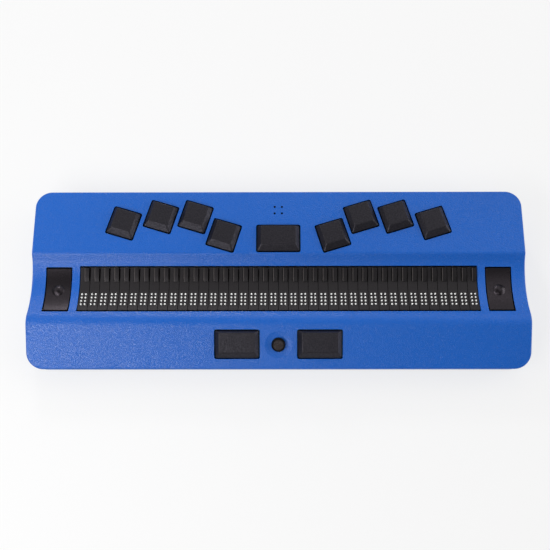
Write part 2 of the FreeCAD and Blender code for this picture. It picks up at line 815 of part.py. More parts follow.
# Housing
def top_shell():
    """Upper housing: the wave-shaped skin with its openings and the posts for the boards."""
    body = wave_block("TopShell", "0", "Sizes.parting_height", "Sizes.body_width")
    far_y = size("body_depth") / 2
    top = size("plateau_height")

    def rear_top(point):
        return far_y - point.y < 0.01 and abs(point.z - top) < 0.01

    fillet(body, body.Tip, edges_where(body.Tip.Shape, rear_top), "Sizes.edge_round", "TopEdge")
    core = wave_block(
        "ShellCore",
        "Sizes.wall",
        "Sizes.parting_height - Sizes.cut_margin",
        "Sizes.body_width - 2 * Sizes.wall",
    )
    hollow = body.newObject("PartDesign::Boolean", "Hollow")
    hollow.Type = "Cut"
    hollow.addObjects([core])
    body.Tip = hollow
    line_openings(body)
    key_openings(body)
    joystick_opening(body)
    sound_holes(body)
    rear_opening(body, "Socket", "socket", "Sizes.board_top + Sizes.socket_height / 2")
    rear_opening(body, "Power", "power", "Sizes.board_top + Sizes.power_lift")
    board_posts(body)
    return keep(body, "top_shell")


def line_openings(body):
    """Long opening for the cells and one at each end for the rocker pads."""
    opening = new_sketch(body, "LineOpening", y="Sizes.line_middle")
    rectangle(opening, "Sizes.line_width", "Sizes.line_depth")
    pocket(body, opening, name="LineCut", up=True)
    end = new_sketch(body, "RockerOpening", x="-Sizes.rocker_x", y="Sizes.rocker_hole_middle")
    rectangle(end, "Sizes.rocker_opening", "Sizes.rocker_hole_depth")
    mirror(body, [pocket(body, end, name="RockerCut", up=True)], name="RockerCuts")


def key_openings(body):
    cuts = []
    for dot in KEY_DOTS:
        sketch = new_sketch(
            body,
            f"KeyOpening_{dot}",
            x=f"-Sizes.dot_{dot}_x",
            y=f"Sizes.dot_{dot}_y",
            axis=TURN,
            angle="-Sizes.key_turn",
        )
        cut_corner_rectangle(sketch, "Sizes.key_width", "Sizes.key_depth", "Sizes.key_corner")
        cuts.append(pocket(body, sketch, name=f"KeyCut_{dot}", up=True))
    mirror(body, cuts, name="KeyCuts")
    space = new_sketch(body, "SpaceOpening", y="Sizes.space_y")
    cut_corner_rectangle(space, "Sizes.wide_key_width", "Sizes.key_depth", "Sizes.key_corner")
    pocket(body, space, name="SpaceCut", up=True)
    front = palm_sketch(body, "FrontKeyOpening", "-Sizes.front_key_x", "front_key", "Sizes.cut_margin")
    cut_corner_rectangle(front, "Sizes.wide_key_width", "Sizes.key_depth", "Sizes.key_corner")
    mirror(body, [pocket(body, front, SKIN_CUT, name="FrontKeyCut")], name="FrontKeyCuts")


def palm_sketch(body, name, x, kind, lift):
    """Sketch in a plane above the palm rest, or below it where the lift is negative."""
    return new_sketch(
        body,
        name,
        x=x,
        y=f"Sizes.{kind}_y - sin(Sizes.palm_slope) * ({lift})",
        z=f"Sizes.{PALM_PLACES[kind]} + cos(Sizes.palm_slope) * ({lift})",
        axis=TILT,
        angle="Sizes.palm_slope",
    )


def joystick_opening(body):
    """Round hole in a shallow dish."""
    low = palm_sketch(body, "DishFloor", "0", "joystick", "-Sizes.dish_depth")
    circle(low, "Sizes.dish_floor_radius")
    high = palm_sketch(body, "DishRim", "0", "joystick", "0")
    circle(high, "Sizes.dish_radius")
    loft(body, low, high, "Dish", cut=True)
    hole = palm_sketch(body, "JoystickHole", "0", "joystick", "Sizes.cut_margin")
    circle(hole, "Sizes.joystick_hole")
    pocket(body, hole, SKIN_CUT, name="JoystickCut")


def sound_holes(body):
    """Four small holes at the rear of the plateau."""
    holes = []
    for row, sign in (("front", "-"), ("rear", "+")):
        sketch = new_sketch(
            body,
            f"SoundHole_{row}",
            x="-Sizes.sound_spacing_x / 2",
            y=f"Sizes.sound_y {sign} Sizes.sound_spacing_y / 2",
        )
        polygon(sketch, 6, "Sizes.sound_hole")
        holes.append(pocket(body, sketch, name=f"SoundCut_{row}", up=True))
    pattern(body, holes, (along(body, "X_Axis"), "Sizes.sound_spacing_x", "2"), "SoundHoles")


def rear_opening(body, name, kind, height):
    """Opening with cut corners through the rear wall."""
    sketch = new_sketch(
        body,
        f"{name}Opening",
        "XZ_Plane",
        x=f"Sizes.{kind}_x",
        y=height,
        z="-Sizes.body_depth / 2 - Sizes.cut_margin",
    )
    gap = f"2 * Sizes.{kind}_gap"
    width = f"Sizes.{kind}_width + {gap}"
    depth = f"Sizes.{kind}_height + {gap}"
    cut_corner_rectangle(sketch, width, depth, f"Sizes.{kind}_corner")
    pocket(body, sketch, SKIN_CUT, name=f"{name}Cut", up=True)


def board_posts(body):
    """Posts that the two key boards hang from."""
    roof = "Sizes.board_drop - Sizes.wall / 2"
    posts = []
    for place in ("inner", "middle", "outer"):
        sketch = new_sketch(
            body,
            f"Post_{place}",
            x=f"-Sizes.post_{place}_x",
            y=f"Sizes.post_{place}_y",
            z="Sizes.plateau_height - Sizes.board_drop",
        )
        rectangle(sketch, "Sizes.post_width", "Sizes.post_width")
        posts.append(pad(body, sketch, roof, name=f"PostPad_{place}"))
    across = "-(Sizes.front_board_width - Sizes.post_width) / 2"
    front = palm_sketch(body, "Post_front", across, "front_key", "-Sizes.board_drop")
    rectangle(front, "Sizes.post_width", "Sizes.post_width")
    posts.append(pad(body, front, roof, name="PostPad_front"))
    mirror(body, posts, name="Posts")


def inset_plan(sketch, inset):
    """The housing's plan drawn in by an inset, with its corners cut off inside the round ones."""
    cut_corner_rectangle(
        sketch,
        f"Sizes.body_width - 2 * ({inset})",
        f"Sizes.body_depth - Sizes.lean_run - 2 * ({inset})",
        "Sizes.lip_corner",
    )


def bottom_shell():
    """Shallow tray under the housing, with a lip inside the upper housing and sunk feet."""
    body = new_body("BottomShell")
    middle = "Sizes.lean_run / 2"
    plan = new_sketch(body, "TrayEdge", y=middle, z="Sizes.foot_proud")
    depth = "Sizes.body_depth - Sizes.lean_run"
    round_rectangle(plan, "Sizes.body_width", depth, "Sizes.plan_corner")
    tray = pad(body, plan, "Sizes.parting_height - Sizes.foot_proud", "TraySide")
    doc.recompute()
    base = size("foot_proud")
    low = edges_where(tray.Shape, lambda point: abs(point.z - base) < 0.01)
    bevel(body, tray, low[:1], "Sizes.tray_chamfer", "TrayChamfer")
    lip = new_sketch(body, "LipEdge", y=middle, z="Sizes.parting_height")
    inset_plan(lip, "Sizes.wall + Sizes.lip_gap")
    pad(body, lip, "Sizes.lip_height", "Lip")
    inside = new_sketch(body, "TrayInside", y=middle, z="Sizes.parting_height + Sizes.lip_height")
    inset_plan(inside, "Sizes.wall + Sizes.lip_gap + Sizes.lip_wall")
    pocket(body, inside, "Sizes.parting_height + Sizes.lip_height - Sizes.tray_top", "TrayHollow")
    recesses = []
    for row, sign in FOOT_ROWS:
        recess = new_sketch(
            body, f"Recess_{row}", x="-Sizes.foot_x", y=f"{sign}Sizes.foot_y", z="Sizes.foot_proud"
        )
        cut_corner_rectangle(recess, "Sizes.foot_length", "Sizes.foot_width", "Sizes.foot_corner")
        recesses.append(pocket(body, recess, "Sizes.foot_sink", f"RecessCut_{row}", up=True))
    pattern(body, recesses, (along(body, "X_Axis"), "2 * Sizes.foot_x", "2"), "Recesses")
    return keep(body, "bottom_shell")


def rubber_feet():
    """Four flat feet sunk into the tray."""
    body = new_body("RubberFeet", compound=True)
    feet = []
    for row, sign in FOOT_ROWS:
        sketch = new_sketch(body, f"Foot_{row}", x="-Sizes.foot_x", y=f"{sign}Sizes.foot_y")
        cut_corner_rectangle(sketch, "Sizes.foot_length", "Sizes.foot_width", "Sizes.foot_corner")
        feet.append(pad(body, sketch, "Sizes.foot_proud + Sizes.foot_sink", f"FootPad_{row}"))
    pattern(body, feet, (along(body, "X_Axis"), "2 * Sizes.foot_x", "2"), "Feet")
    return keep(body, "rubber_feet")


# Reading line
def cell_modules():
    """Row of forty cells, each with a groove for each column of pins and a notch for its routing key."""
    body = new_body("CellModules", compound=True)
    seat(body, "Sizes.first_cell")
    side = new_sketch(body, "CellSide", "YZ_Plane")
    section(
        side,
        (
            ("Sizes.module_rear", "Sizes.backplane_top"),
            ("Sizes.module_rear", "Sizes.module_rear_z"),
            ("Sizes.routing_land", "Sizes.routing_land_z"),
            ("Sizes.dots_rear", "Sizes.dots_rear_z"),
            ("Sizes.dots_front", "Sizes.dots_front_z"),
            ("Sizes.module_front", "Sizes.module_front_z"),
            ("Sizes.module_front", "Sizes.backplane_top"),
        ),
    )
    pad(body, side, "Sizes.module_width", symmetric=True)
    notch = new_sketch(
        body,
        "RoutingNotch",
        x="Sizes.routing_shift",
        y="Sizes.routing_y",
        z="Sizes.routing_z",
        axis=TILT,
        angle="Sizes.routing_slope",
    )
    left = "-Sizes.routing_width / 2 - Sizes.routing_gap"
    front = "-Sizes.routing_length / 2 - Sizes.routing_gap"
    right = "Sizes.module_width / 2 - Sizes.routing_shift + Sizes.cut_margin"
    rear = "Sizes.routing_length / 2 + Sizes.cut_margin"
    section(notch, ((left, front), (right, front), (right, rear), (left, rear)))
    depth = "Sizes.routing_sink + Sizes.routing_travel + Sizes.routing_gap"
    pocket(body, notch, depth, "NotchCut")
    groove = new_sketch(
        body,
        "PinGroove",
        x="-Sizes.dot_pitch / 2",
        y="Sizes.dots_y",
        z="Sizes.dots_z",
        axis=TILT_BACK,
        angle="Sizes.dots_slope",
    )
    bore = "Sizes.pin_width + 2 * Sizes.pin_gap"
    rectangle(groove, bore, f"3 * Sizes.dot_pitch + {bore}")
    cut = pocket(body, groove, "Sizes.pin_sink + Sizes.pin_travel + Sizes.pin_floor", "GrooveCut")
    pattern(body, [cut], (along(body, "X_Axis"), "Sizes.dot_pitch", "2"), "Grooves")
    pattern(body, [], (along(body, "X_Axis"), "Sizes.cell_pitch", "Sizes.cell_count"), "Cells")
    return keep(body, "cell_modules")


def braille_pins(dot):
    """One pin in each cell: all forty pins of one dot number."""
    across, down = PIN_PLACES[dot]
    body = new_body(f"Pins_{dot}", compound=True)
    along_slope = f"{down / 2} * Sizes.dot_pitch"
    seat(
        body,
        f"Sizes.first_cell + {across / 2} * Sizes.dot_pitch",
        f"Sizes.dots_y + {along_slope} * cos(Sizes.dots_slope)",
        f"Sizes.dots_z - {along_slope} * sin(Sizes.dots_slope)",
        TILT_BACK,
        "Sizes.dots_slope",
    )
    sketch = new_sketch(body, "PinFoot", z="-Sizes.pin_sink")
    rectangle(sketch, "Sizes.pin_width", "Sizes.pin_width")
    pad(body, sketch, "Sizes.pin_sink + Sizes.pin_rise")
    pattern(body, [], (along(body, "X_Axis"), "Sizes.cell_pitch", "Sizes.cell_count"), "Pins")
    return keep(body, f"braille_pins_{dot}")


def routing_keys(group):
    """Five neighbouring routing keys, one behind each cell."""
    body = new_body(f"RoutingKeys_{group}", compound=True)
    share = f"Sizes.cell_count / {ROUTING_GROUPS}"
    seat(
        body,
        f"Sizes.first_cell + {group - 1} * {share} * Sizes.cell_pitch + Sizes.routing_shift",
        "Sizes.routing_y",
        "Sizes.routing_z",
        TILT,
        "Sizes.routing_slope",
    )
    sketch = new_sketch(body, "KeyFoot", z="-Sizes.routing_sink")
    rectangle(sketch, "Sizes.routing_width", "Sizes.routing_length")
    pad(body, sketch, "Sizes.routing_sink + Sizes.routing_rise")
    pattern(body, [], (along(body, "X_Axis"), "Sizes.cell_pitch", share), "Keys")
    return keep(body, f"routing_keys_{group}")


def cell_chassis():
    """Channel that holds the cells, with a ledge along each side for their board."""
    body = new_body("CellChassis")
    gap = "Sizes.chassis_gap"
    side = new_sketch(body, "ChannelSide", "YZ_Plane")
    rear = f"Sizes.module_rear + {gap}"
    front = f"Sizes.module_front - {gap}"
    top = "Sizes.tray_top + Sizes.chassis_height"
    ledge = "Sizes.chassis_base + Sizes.board_thickness"
    section(
        side,
        (
            (f"{rear} + Sizes.chassis_wall", "Sizes.tray_top"),
            (f"{rear} + Sizes.chassis_wall", top),
            (rear, top),
            (rear, ledge),
            (f"{rear} - Sizes.ledge_width", ledge),
            (f"{rear} - Sizes.ledge_width", "Sizes.chassis_base"),
            (f"{front} + Sizes.ledge_width", "Sizes.chassis_base"),
            (f"{front} + Sizes.ledge_width", ledge),
            (front, ledge),
            (front, top),
            (f"{front} - Sizes.chassis_wall", top),
            (f"{front} - Sizes.chassis_wall", "Sizes.tray_top"),
        ),
    )
    pad(body, side, "Sizes.cell_count * Sizes.cell_pitch", symmetric=True)
    return keep(body, "cell_chassis")


def box(label, sides, corner):
    """Plain block given by its three sides and the coordinates of its lowest corner."""
    solid = doc.addObject("Part::Box", label.title().replace("_", ""))
    bind(solid, Length=sides[0], Width=sides[1], Height=sides[2])
    seat(solid, *corner)
    return keep(solid, label)


def cell_backplane():
    return box(
        "cell_backplane",
        (
            "Sizes.cell_count * Sizes.cell_pitch",
            "Sizes.module_rear - Sizes.module_front",
            "Sizes.board_thickness",
        ),
        (
            "-Sizes.cell_count * Sizes.cell_pitch / 2",
            "Sizes.module_front",
            "Sizes.chassis_base + Sizes.board_thickness",
        ),
    )


# Keys
def key_cap(label, width):
    """Key cap in its own frame: z is zero at the housing's surface, the reader's side is -y."""
    body = new_body(label.title().replace("_", ""))
    gap = "2 * Sizes.key_gap"
    skirt = new_sketch(body, "SkirtOutline", z="-Sizes.key_skirt")
    cut_corner_rectangle(skirt, f"{width} - {gap}", f"Sizes.key_depth - {gap}", "Sizes.key_corner")
    pad(body, skirt, "Sizes.key_skirt + Sizes.key_rise", "Cap")
    deep = "Sizes.key_depth / 2 - Sizes.key_gap"
    wide = f"({width}) / 2 - Sizes.key_gap"
    for name, role, edge, bevel in (
        ("Front", "YZ_Plane", f"-({deep})", "+ Sizes.key_front_bevel"),
        ("Rear", "YZ_Plane", deep, "- Sizes.key_rear_bevel"),
        ("Left", "XZ_Plane", f"-({wide})", "+ Sizes.key_side_bevel"),
        ("Right", "XZ_Plane", wide, "- Sizes.key_side_bevel"),
    ):
        wedge = new_sketch(body, f"{name}Wedge", role)
        section(
            wedge,
            (
                (edge, "Sizes.key_lip"),
                (f"{edge} {bevel}", "Sizes.key_rise"),
                (edge, "Sizes.key_rise"),
            ),
        )
        pocket(body, wedge, f"{width} + Sizes.key_depth", f"{name}Bevel", symmetric=True)
    inside = new_sketch(body, "CapInside", z="-Sizes.key_skirt")
    wall = "2 * Sizes.key_wall"
    rectangle(inside, f"{width} - {gap} - {wall}", f"Sizes.key_depth - {gap} - {wall}")
    hollow = "Sizes.key_skirt + Sizes.key_rise - Sizes.key_cover"
    pocket(body, inside, hollow, "CapHollow", up=True)
    stem = new_sketch(body, "StemOutline", z="-Sizes.stem_drop")
    rectangle(stem, "Sizes.stem_width", "Sizes.stem_width")
    pad(body, stem, "Sizes.stem_drop + Sizes.key_rise - Sizes.key_cover", "Stem")
    return keep(body, label)


def key_switch(name):
    """Switch under a key, in the key's own frame, with a hole for the cap's stem."""
    body = new_body(name)
    case = new_sketch(body, "Case", z="-Sizes.board_drop")
    rectangle(case, "Sizes.switch_width", "Sizes.switch_width")
    pad(body, case, "Sizes.switch_height", "CasePad")
    hole = new_sketch(body, "StemHole", z="-Sizes.switch_drop")
    bore = "Sizes.stem_width + 2 * Sizes.stem_gap"
    rectangle(hole, bore, bore)
    pocket(body, hole, "Sizes.switch_height - Sizes.switch_floor", "StemPocket")
    return body


def rear_keys():
    """The eight dot keys and the space key on the plateau, with their switches."""
    switches = []
    for left, right in KEY_DOTS.items():
        for dot, sign in ((left, "-"), (right, "")):
            switch = key_switch(f"Switch_{dot}")
            switches.append(switch)
            for body in (key_cap(f"key_{dot}", "Sizes.key_width"), switch):
                seat(
                    body,
                    f"{sign}Sizes.dot_{left}_x",
                    f"Sizes.dot_{left}_y",
                    "Sizes.plateau_height",
                    TURN,
                    f"{sign}Sizes.key_turn",
                )
    switch = key_switch("Switch_space")
    switches.append(switch)
    for body in (key_cap("space_key", "Sizes.wide_key_width"), switch):
        seat(body, "0", "Sizes.space_y", "Sizes.plateau_height")
    group(switches, "key_switches")


def front_keys():
    """The two keys on the palm rest, with their switches."""
    switches = []
    for side, sign in (("left", "-"), ("right", "")):
        switch = key_switch(f"Switch_{side}")
        switches.append(switch)
        for body in (key_cap(f"front_key_{side}", "Sizes.wide_key_width"), switch):
            on_palm(body, f"{sign}Sizes.front_key_x", "front_key")
    group(switches, "front_key_switches")


def group(bodies, label):
    """Like pieces that share one name."""
    joined = doc.addObject("Part::Compound", label.title().replace("_", ""))
    joined.Links = bodies
    return keep(joined, label)


def key_boards():
    """Boards under the switches of the rear keys and of the front keys."""
    box(
        "keyboard_board",
        (
            "Sizes.keyboard_board_width",
            "Sizes.keyboard_board_rear - Sizes.keyboard_board_front",
            "Sizes.board_thickness",
        ),
        (
            "-Sizes.keyboard_board_width / 2",
            "Sizes.keyboard_board_front",
            "Sizes.plateau_height - Sizes.board_drop - Sizes.board_thickness",
        ),
    )
    body = new_body("FrontBoard")
    on_palm(body, "0", "front_key")
    outline = new_sketch(body, "BoardOutline", z="-Sizes.board_drop")
    rectangle(outline, "Sizes.front_board_width", "Sizes.front_board_depth")
    pad(body, outline, "Sizes.board_thickness", "Board", down=True)
    keep(body, "front_board")


# Joystick, all in a frame whose z is square to the palm rest
def joystick_housing():
    """Open box that carries the yoke's trunnions."""
    body = new_body("JoystickHousing")
    on_palm(body, "0", "joystick")
    outer = "Sizes.yoke_width + 2 * (Sizes.gimbal_gap + Sizes.gimbal_wall)"
    inner = "Sizes.yoke_width + 2 * Sizes.gimbal_gap"
    rim = "Sizes.pivot_drop - Sizes.yoke_height / 2"
    base = new_sketch(body, "BoxFoot", z="-Sizes.board_drop")
    rectangle(base, outer, outer)
    pad(body, base, f"Sizes.board_drop - ({rim})", "Box")
    well = new_sketch(body, "BoxInside", z=f"-({rim})")
    rectangle(well, inner, inner)
    pocket(body, well, f"Sizes.board_drop - Sizes.gimbal_floor - ({rim})", "Well")
    bearing = new_sketch(body, "Bearing", "YZ_Plane", y="-Sizes.pivot_drop")
    bore = "2 * (Sizes.pivot_radius + Sizes.pivot_gap)"
    rectangle(bearing, bore, bore)
    pocket(body, bearing, f"{outer} + Sizes.cut_margin", "Bearings", symmetric=True)
    return keep(body, "joystick_housing")


def joystick_yoke():
    """Square frame that tilts to the front and rear, with bearings for the stick's pin."""
    body = new_body("JoystickYoke")
    on_palm(body, "0", "joystick")
    frame = new_sketch(body, "YokeOutline", z="-Sizes.pivot_drop - Sizes.yoke_height / 2")
    rectangle(frame, "Sizes.yoke_width", "Sizes.yoke_width")
    rectangle(frame, "Sizes.yoke_window", "Sizes.yoke_window")
    pad(body, frame, "Sizes.yoke_height", "Frame")
    bearing = new_sketch(body, "PinBearing", "XZ_Plane", y="-Sizes.pivot_drop")
    bore = "2 * (Sizes.pivot_radius + Sizes.pivot_gap)"
    rectangle(bearing, bore, bore)
    pocket(body, bearing, "Sizes.yoke_width + Sizes.cut_margin", "PinBearings", symmetric=True)
    trunnion = new_sketch(
        body, "Trunnion", "YZ_Plane", y="-Sizes.pivot_drop", z="Sizes.yoke_width / 2"
    )
    circle(trunnion, "Sizes.pivot_radius")
    journal = pad(body, trunnion, "Sizes.gimbal_gap + Sizes.gimbal_wall", "TrunnionPad")
    mirror(body, [journal], "Trunnions")
    return keep(body, "joystick_yoke")


def joystick_stick():
    """Square stick on a round cross pin, tilting to the left and right in the yoke."""
    body = new_body("JoystickStick")
    on_palm(body, "0", "joystick")
    foot = new_sketch(body, "StickFoot", z="-Sizes.pivot_drop - Sizes.stick_foot")
    rectangle(foot, "Sizes.stick_width", "Sizes.stick_width")
    pad(body, foot, "Sizes.stick_foot + Sizes.pivot_drop + Sizes.stick_top", "Stick")
    pin = new_sketch(body, "CrossPin", "XZ_Plane", y="-Sizes.pivot_drop")
    circle(pin, "Sizes.pivot_radius")
    pad(body, pin, "Sizes.yoke_width", "CrossPinPad", symmetric=True)
    return keep(body, "joystick_stick")


def joystick_knob():
    """Round knob pushed down on the stick."""
    body = new_body("JoystickKnob")
    on_palm(body, "0", "joystick")
    disc = new_sketch(body, "DiscOutline", z="Sizes.knob_lift")
    circle(disc, "Sizes.knob_radius")
    pad(body, disc, "Sizes.knob_rim", "Disc")
    crown = new_sketch(body, "CrownOutline", z="Sizes.knob_lift + Sizes.knob_rim")
    polygon(crown, 16, "Sizes.knob_crown_radius")
    pad(body, crown, "Sizes.knob_crown", "Crown")
    neck = new_sketch(body, "NeckOutline", z="Sizes.knob_lift")
    polygon(neck, 8, "Sizes.neck_radius")
    pad(body, neck, "Sizes.neck_length", "Neck", down=True)
    bore = new_sketch(body, "StickBore", z="Sizes.knob_lift - Sizes.neck_length")
    opening = "Sizes.stick_width + 2 * Sizes.stick_gap"
    rectangle(bore, opening, opening)
    reach = "Sizes.stick_top + Sizes.knob_travel + 2 * Sizes.stick_gap"
    pocket(body, bore, f"Sizes.neck_length - Sizes.knob_lift + {reach}", "StickPocket", up=True)
    return keep(body, "joystick_knob")


# Rocker pads
def rocker_pad(side, sign):
    """Concave pad with a round spot to feel, on a rib that ends in a round bar."""
    body = new_body(f"RockerPad{side.title()}")
    seat(body, f"{sign}Sizes.rocker_x")
    plate = new_sketch(body, "PadSide", "YZ_Plane")
    thick = "Sizes.rocker_thickness"
    tops = (
        ("Sizes.rocker_rear", "Sizes.rocker_rear_z"),
        ("Sizes.routing_land", "Sizes.routing_land_z"),
        ("Sizes.rocker_land_front", "Sizes.rocker_land_front_z"),
        ("Sizes.rocker_front", "Sizes.rocker_front_z"),
    )
    bottoms = (tops[3], tops[2], tops[1], tops[0])
    section(plate, tops + tuple((across, f"{height} - {thick}") for across, height in bottoms))
    width = "Sizes.rocker_opening - 2 * Sizes.rocker_side_gap"
    pad(body, plate, width, "Plate", symmetric=True)
    rib = new_sketch(body, "RibSide", "YZ_Plane")
    half = "Sizes.rocker_neck / 2"
    section(
        rib,
        (
            (f"Sizes.rocker_y + {half}", "Sizes.axle_height"),
            (f"Sizes.rocker_y + {half}", f"Sizes.rocker_z - {thick} / 2"),
            (f"Sizes.rocker_y - {half}", f"Sizes.rocker_z - {thick} / 2"),
            (f"Sizes.rocker_y - {half}", "Sizes.axle_height"),
        ),
    )
    pad(body, rib, "Sizes.axle_length", "Rib", symmetric=True)
    bar = new_sketch(body, "BarEnd", "YZ_Plane", x="Sizes.rocker_y", y="Sizes.axle_height")
    circle(bar, "Sizes.axle_radius")
    pad(body, bar, "Sizes.axle_length", "Bar", symmetric=True)
    spot = new_sketch(
        body,
        "SpotOutline",
        y="Sizes.rocker_y",
        z="Sizes.rocker_z",
        axis=TILT_BACK,
        angle="Sizes.rocker_slope",
    )
    polygon(spot, 16, "Sizes.dome_radius")
    dome = pad(body, spot, "Sizes.dome_height", "Spot")
    doc.recompute()
    slope = math.radians(size("rocker_slope"))
    up = Vector(0, math.sin(slope), math.cos(slope))
    top = Vector(0, size("rocker_y"), size("rocker_z")).dot(up) + size("dome_height")
    rim = edges_where(dome.Shape, lambda point: abs(point.dot(up) - top) < 0.01)
    bevel(body, dome, rim, "Sizes.dome_bevel", "SpotBevel")
    return keep(body, f"rocker_pad_{side}")


def pad_carrier(side, sign):
    """Sliding block that holds the round bar of a rocker pad."""
    body = new_body(f"PadCarrier{side.title()}")
    seat(body, f"{sign}Sizes.rocker_x", "Sizes.rocker_y")
    outline = new_sketch(body, "CarrierSide", "YZ_Plane")
    bar = "(Sizes.axle_radius + Sizes.axle_gap)"
    depth = "Sizes.carrier_depth / 2"
    mouth = "Sizes.carrier_mouth / 2"
    section(
        outline,
        (
            (depth, "Sizes.carrier_base"),
            (depth, "Sizes.carrier_top"),
            (mouth, "Sizes.carrier_top"),
            (mouth, f"Sizes.axle_height + {bar}"),
            (bar, f"Sizes.axle_height + {bar}"),
            (bar, f"Sizes.axle_height - {bar}"),
            (f"-{bar}", f"Sizes.axle_height - {bar}"),
            (f"-{bar}", f"Sizes.axle_height + {bar}"),
            (f"-{mouth}", f"Sizes.axle_height + {bar}"),
            (f"-{mouth}", "Sizes.carrier_top"),
            (f"-{depth}", "Sizes.carrier_top"),
            (f"-{depth}", "Sizes.carrier_base"),
        ),
    )
    pad(body, outline, "Sizes.carrier_width", symmetric=True)
    return keep(body, f"pad_carrier_{side}")


def pad_guide(side, sign):
    """Open box on the tray that a pad's carrier slides in."""
    body = new_body(f"PadGuide{side.title()}")
    seat(body, f"{sign}Sizes.rocker_x", "Sizes.rocker_y", "Sizes.tray_top")
    gap = "2 * Sizes.carrier_gap"
    wall = "2 * Sizes.guide_wall"
    outer = new_sketch(body, "GuideOutline")
    rectangle(outer, f"Sizes.carrier_width + {gap} + {wall}", f"Sizes.carrier_depth + {gap} + {wall}")
    pad(body, outer, "Sizes.guide_height")
    inner = new_sketch(body, "GuideWell", z="Sizes.guide_height")
    rectangle(inner, f"Sizes.carrier_width + {gap}", f"Sizes.carrier_depth + {gap}")
    floor_height = "Sizes.carrier_base - Sizes.rocker_press - Sizes.carrier_gap"
    pocket(body, inner, f"Sizes.tray_top + Sizes.guide_height - ({floor_height})", "Well")
    return keep(body, f"pad_guide_{side}")


def rocker_pads():
    for side, sign in (("left", "-"), ("right", "")):
        rocker_pad(side, sign)
        pad_carrier(side, sign)
        pad_guide(side, sign)


# Power, sound and rear sockets
def electronics():
    """Battery, main board, sounder and the ribbon between the boards."""
    box(
        "battery_pack",
        ("Sizes.battery_width", "Sizes.battery_depth", "Sizes.battery_height"),
        (
            "Sizes.battery_x - Sizes.battery_width / 2",
            "Sizes.battery_y - Sizes.battery_depth / 2",
            "Sizes.tray_top",
        ),
    )
    box(
        "main_board",
        ("Sizes.main_board_width", "Sizes.main_board_depth", "Sizes.board_thickness"),
        (
            "Sizes.main_board_x - Sizes.main_board_width / 2",
            "Sizes.main_board_rear - Sizes.main_board_depth",
            "Sizes.tray_top + Sizes.main_board_lift",
        ),
    )
    box(
        "sounder",
        ("Sizes.sounder_width", "Sizes.sounder_depth", "Sizes.sounder_height"),
        (
            "-Sizes.sounder_width / 2",
            "Sizes.sound_y - Sizes.sounder_depth / 2",
            "Sizes.plateau_height - Sizes.wall - Sizes.sounder_height",
        ),
    )
    body = new_body("RibbonCable")
    seat(body, "Sizes.ribbon_x")
    side = new_sketch(body, "RibbonSide", "YZ_Plane")
    thick = "Sizes.ribbon_thickness"
    roof = "Sizes.plateau_height - Sizes.board_drop - Sizes.board_thickness"
    section(
        side,
        (
            ("Sizes.ribbon_y - Sizes.ribbon_run", "Sizes.board_top"),
            ("Sizes.ribbon_y", "Sizes.board_top"),
            ("Sizes.ribbon_y", f"{roof} - {thick}"),
            ("Sizes.ribbon_y + Sizes.ribbon_run", f"{roof} - {thick}"),
            ("Sizes.ribbon_y + Sizes.ribbon_run", roof),
            (f"Sizes.ribbon_y - {thick}", roof),
            (f"Sizes.ribbon_y - {thick}", f"Sizes.board_top + {thick}"),
            ("Sizes.ribbon_y - Sizes.ribbon_run", f"Sizes.board_top + {thick}"),
        ),
    )
    pad(body, side, "Sizes.ribbon_width", symmetric=True)
    keep(body, "ribbon_cable")


def charging_socket():
    """Metal-shelled socket in the rear wall, with a tongue inside."""
    body = new_body("ChargingSocket")
    seat(
        body,
        "Sizes.socket_x",
        "Sizes.body_depth / 2 - Sizes.socket_sink",
        "Sizes.board_top + Sizes.socket_height / 2",
    )
    shell = new_sketch(body, "SocketOutline", "XZ_Plane")
    cut_corner_rectangle(shell, "Sizes.socket_width", "Sizes.socket_height", "Sizes.socket_corner")
    pad(body, shell, "Sizes.socket_depth", "SocketShell")
    rim = "2 * Sizes.socket_rim"
    mouth = new_sketch(body, "SocketMouth", "XZ_Plane")
    cut_corner_rectangle(
        mouth,
        f"Sizes.socket_width - {rim}",
        f"Sizes.socket_height - {rim}",
        "Sizes.socket_corner - Sizes.socket_rim / 2",
    )
    pocket(body, mouth, "Sizes.socket_bore", "SocketBore", up=True)
    tongue = new_sketch(body, "TongueOutline", "XZ_Plane", z="Sizes.socket_bore")
    rectangle(tongue, "Sizes.tongue_width", "Sizes.tongue_height")
    pad(body, tongue, "Sizes.tongue_length", "Tongue", down=True)
    return keep(body, "charging_socket")


def power_button():
    """Flanged button in the rear wall."""
    body = new_body("PowerButton")
    seat(body, "Sizes.power_x", "Sizes.body_depth / 2", "Sizes.board_top + Sizes.power_lift")
    face = new_sketch(body, "ButtonOutline", "XZ_Plane", z="-Sizes.power_rise")
    cut_corner_rectangle(face, "Sizes.power_width", "Sizes.power_height", "Sizes.power_corner")
    pad(body, face, "Sizes.power_rise + Sizes.wall + Sizes.power_flange_gap", "Button")
    flange = new_sketch(body, "FlangeOutline", "XZ_Plane", z="Sizes.wall + Sizes.power_flange_gap")
    step = "2 * Sizes.power_flange_step"
    rectangle(flange, f"Sizes.power_width + {step}", f"Sizes.power_height + {step}")
    pad(body, flange, "Sizes.power_flange", "Flange")
    keep(body, "power_button")
    inner = "Sizes.wall + Sizes.power_flange_gap + Sizes.power_flange"
    reach = f"{inner} + Sizes.power_travel + Sizes.power_switch_gap"
    box(
        "power_switch",
        ("Sizes.power_switch_width", "Sizes.power_switch_depth", "Sizes.power_switch_height"),
        (
            "Sizes.power_x - Sizes.power_switch_width / 2",
            f"Sizes.body_depth / 2 - ({reach}) - Sizes.power_switch_depth",
            "Sizes.board_top",
        ),
    )


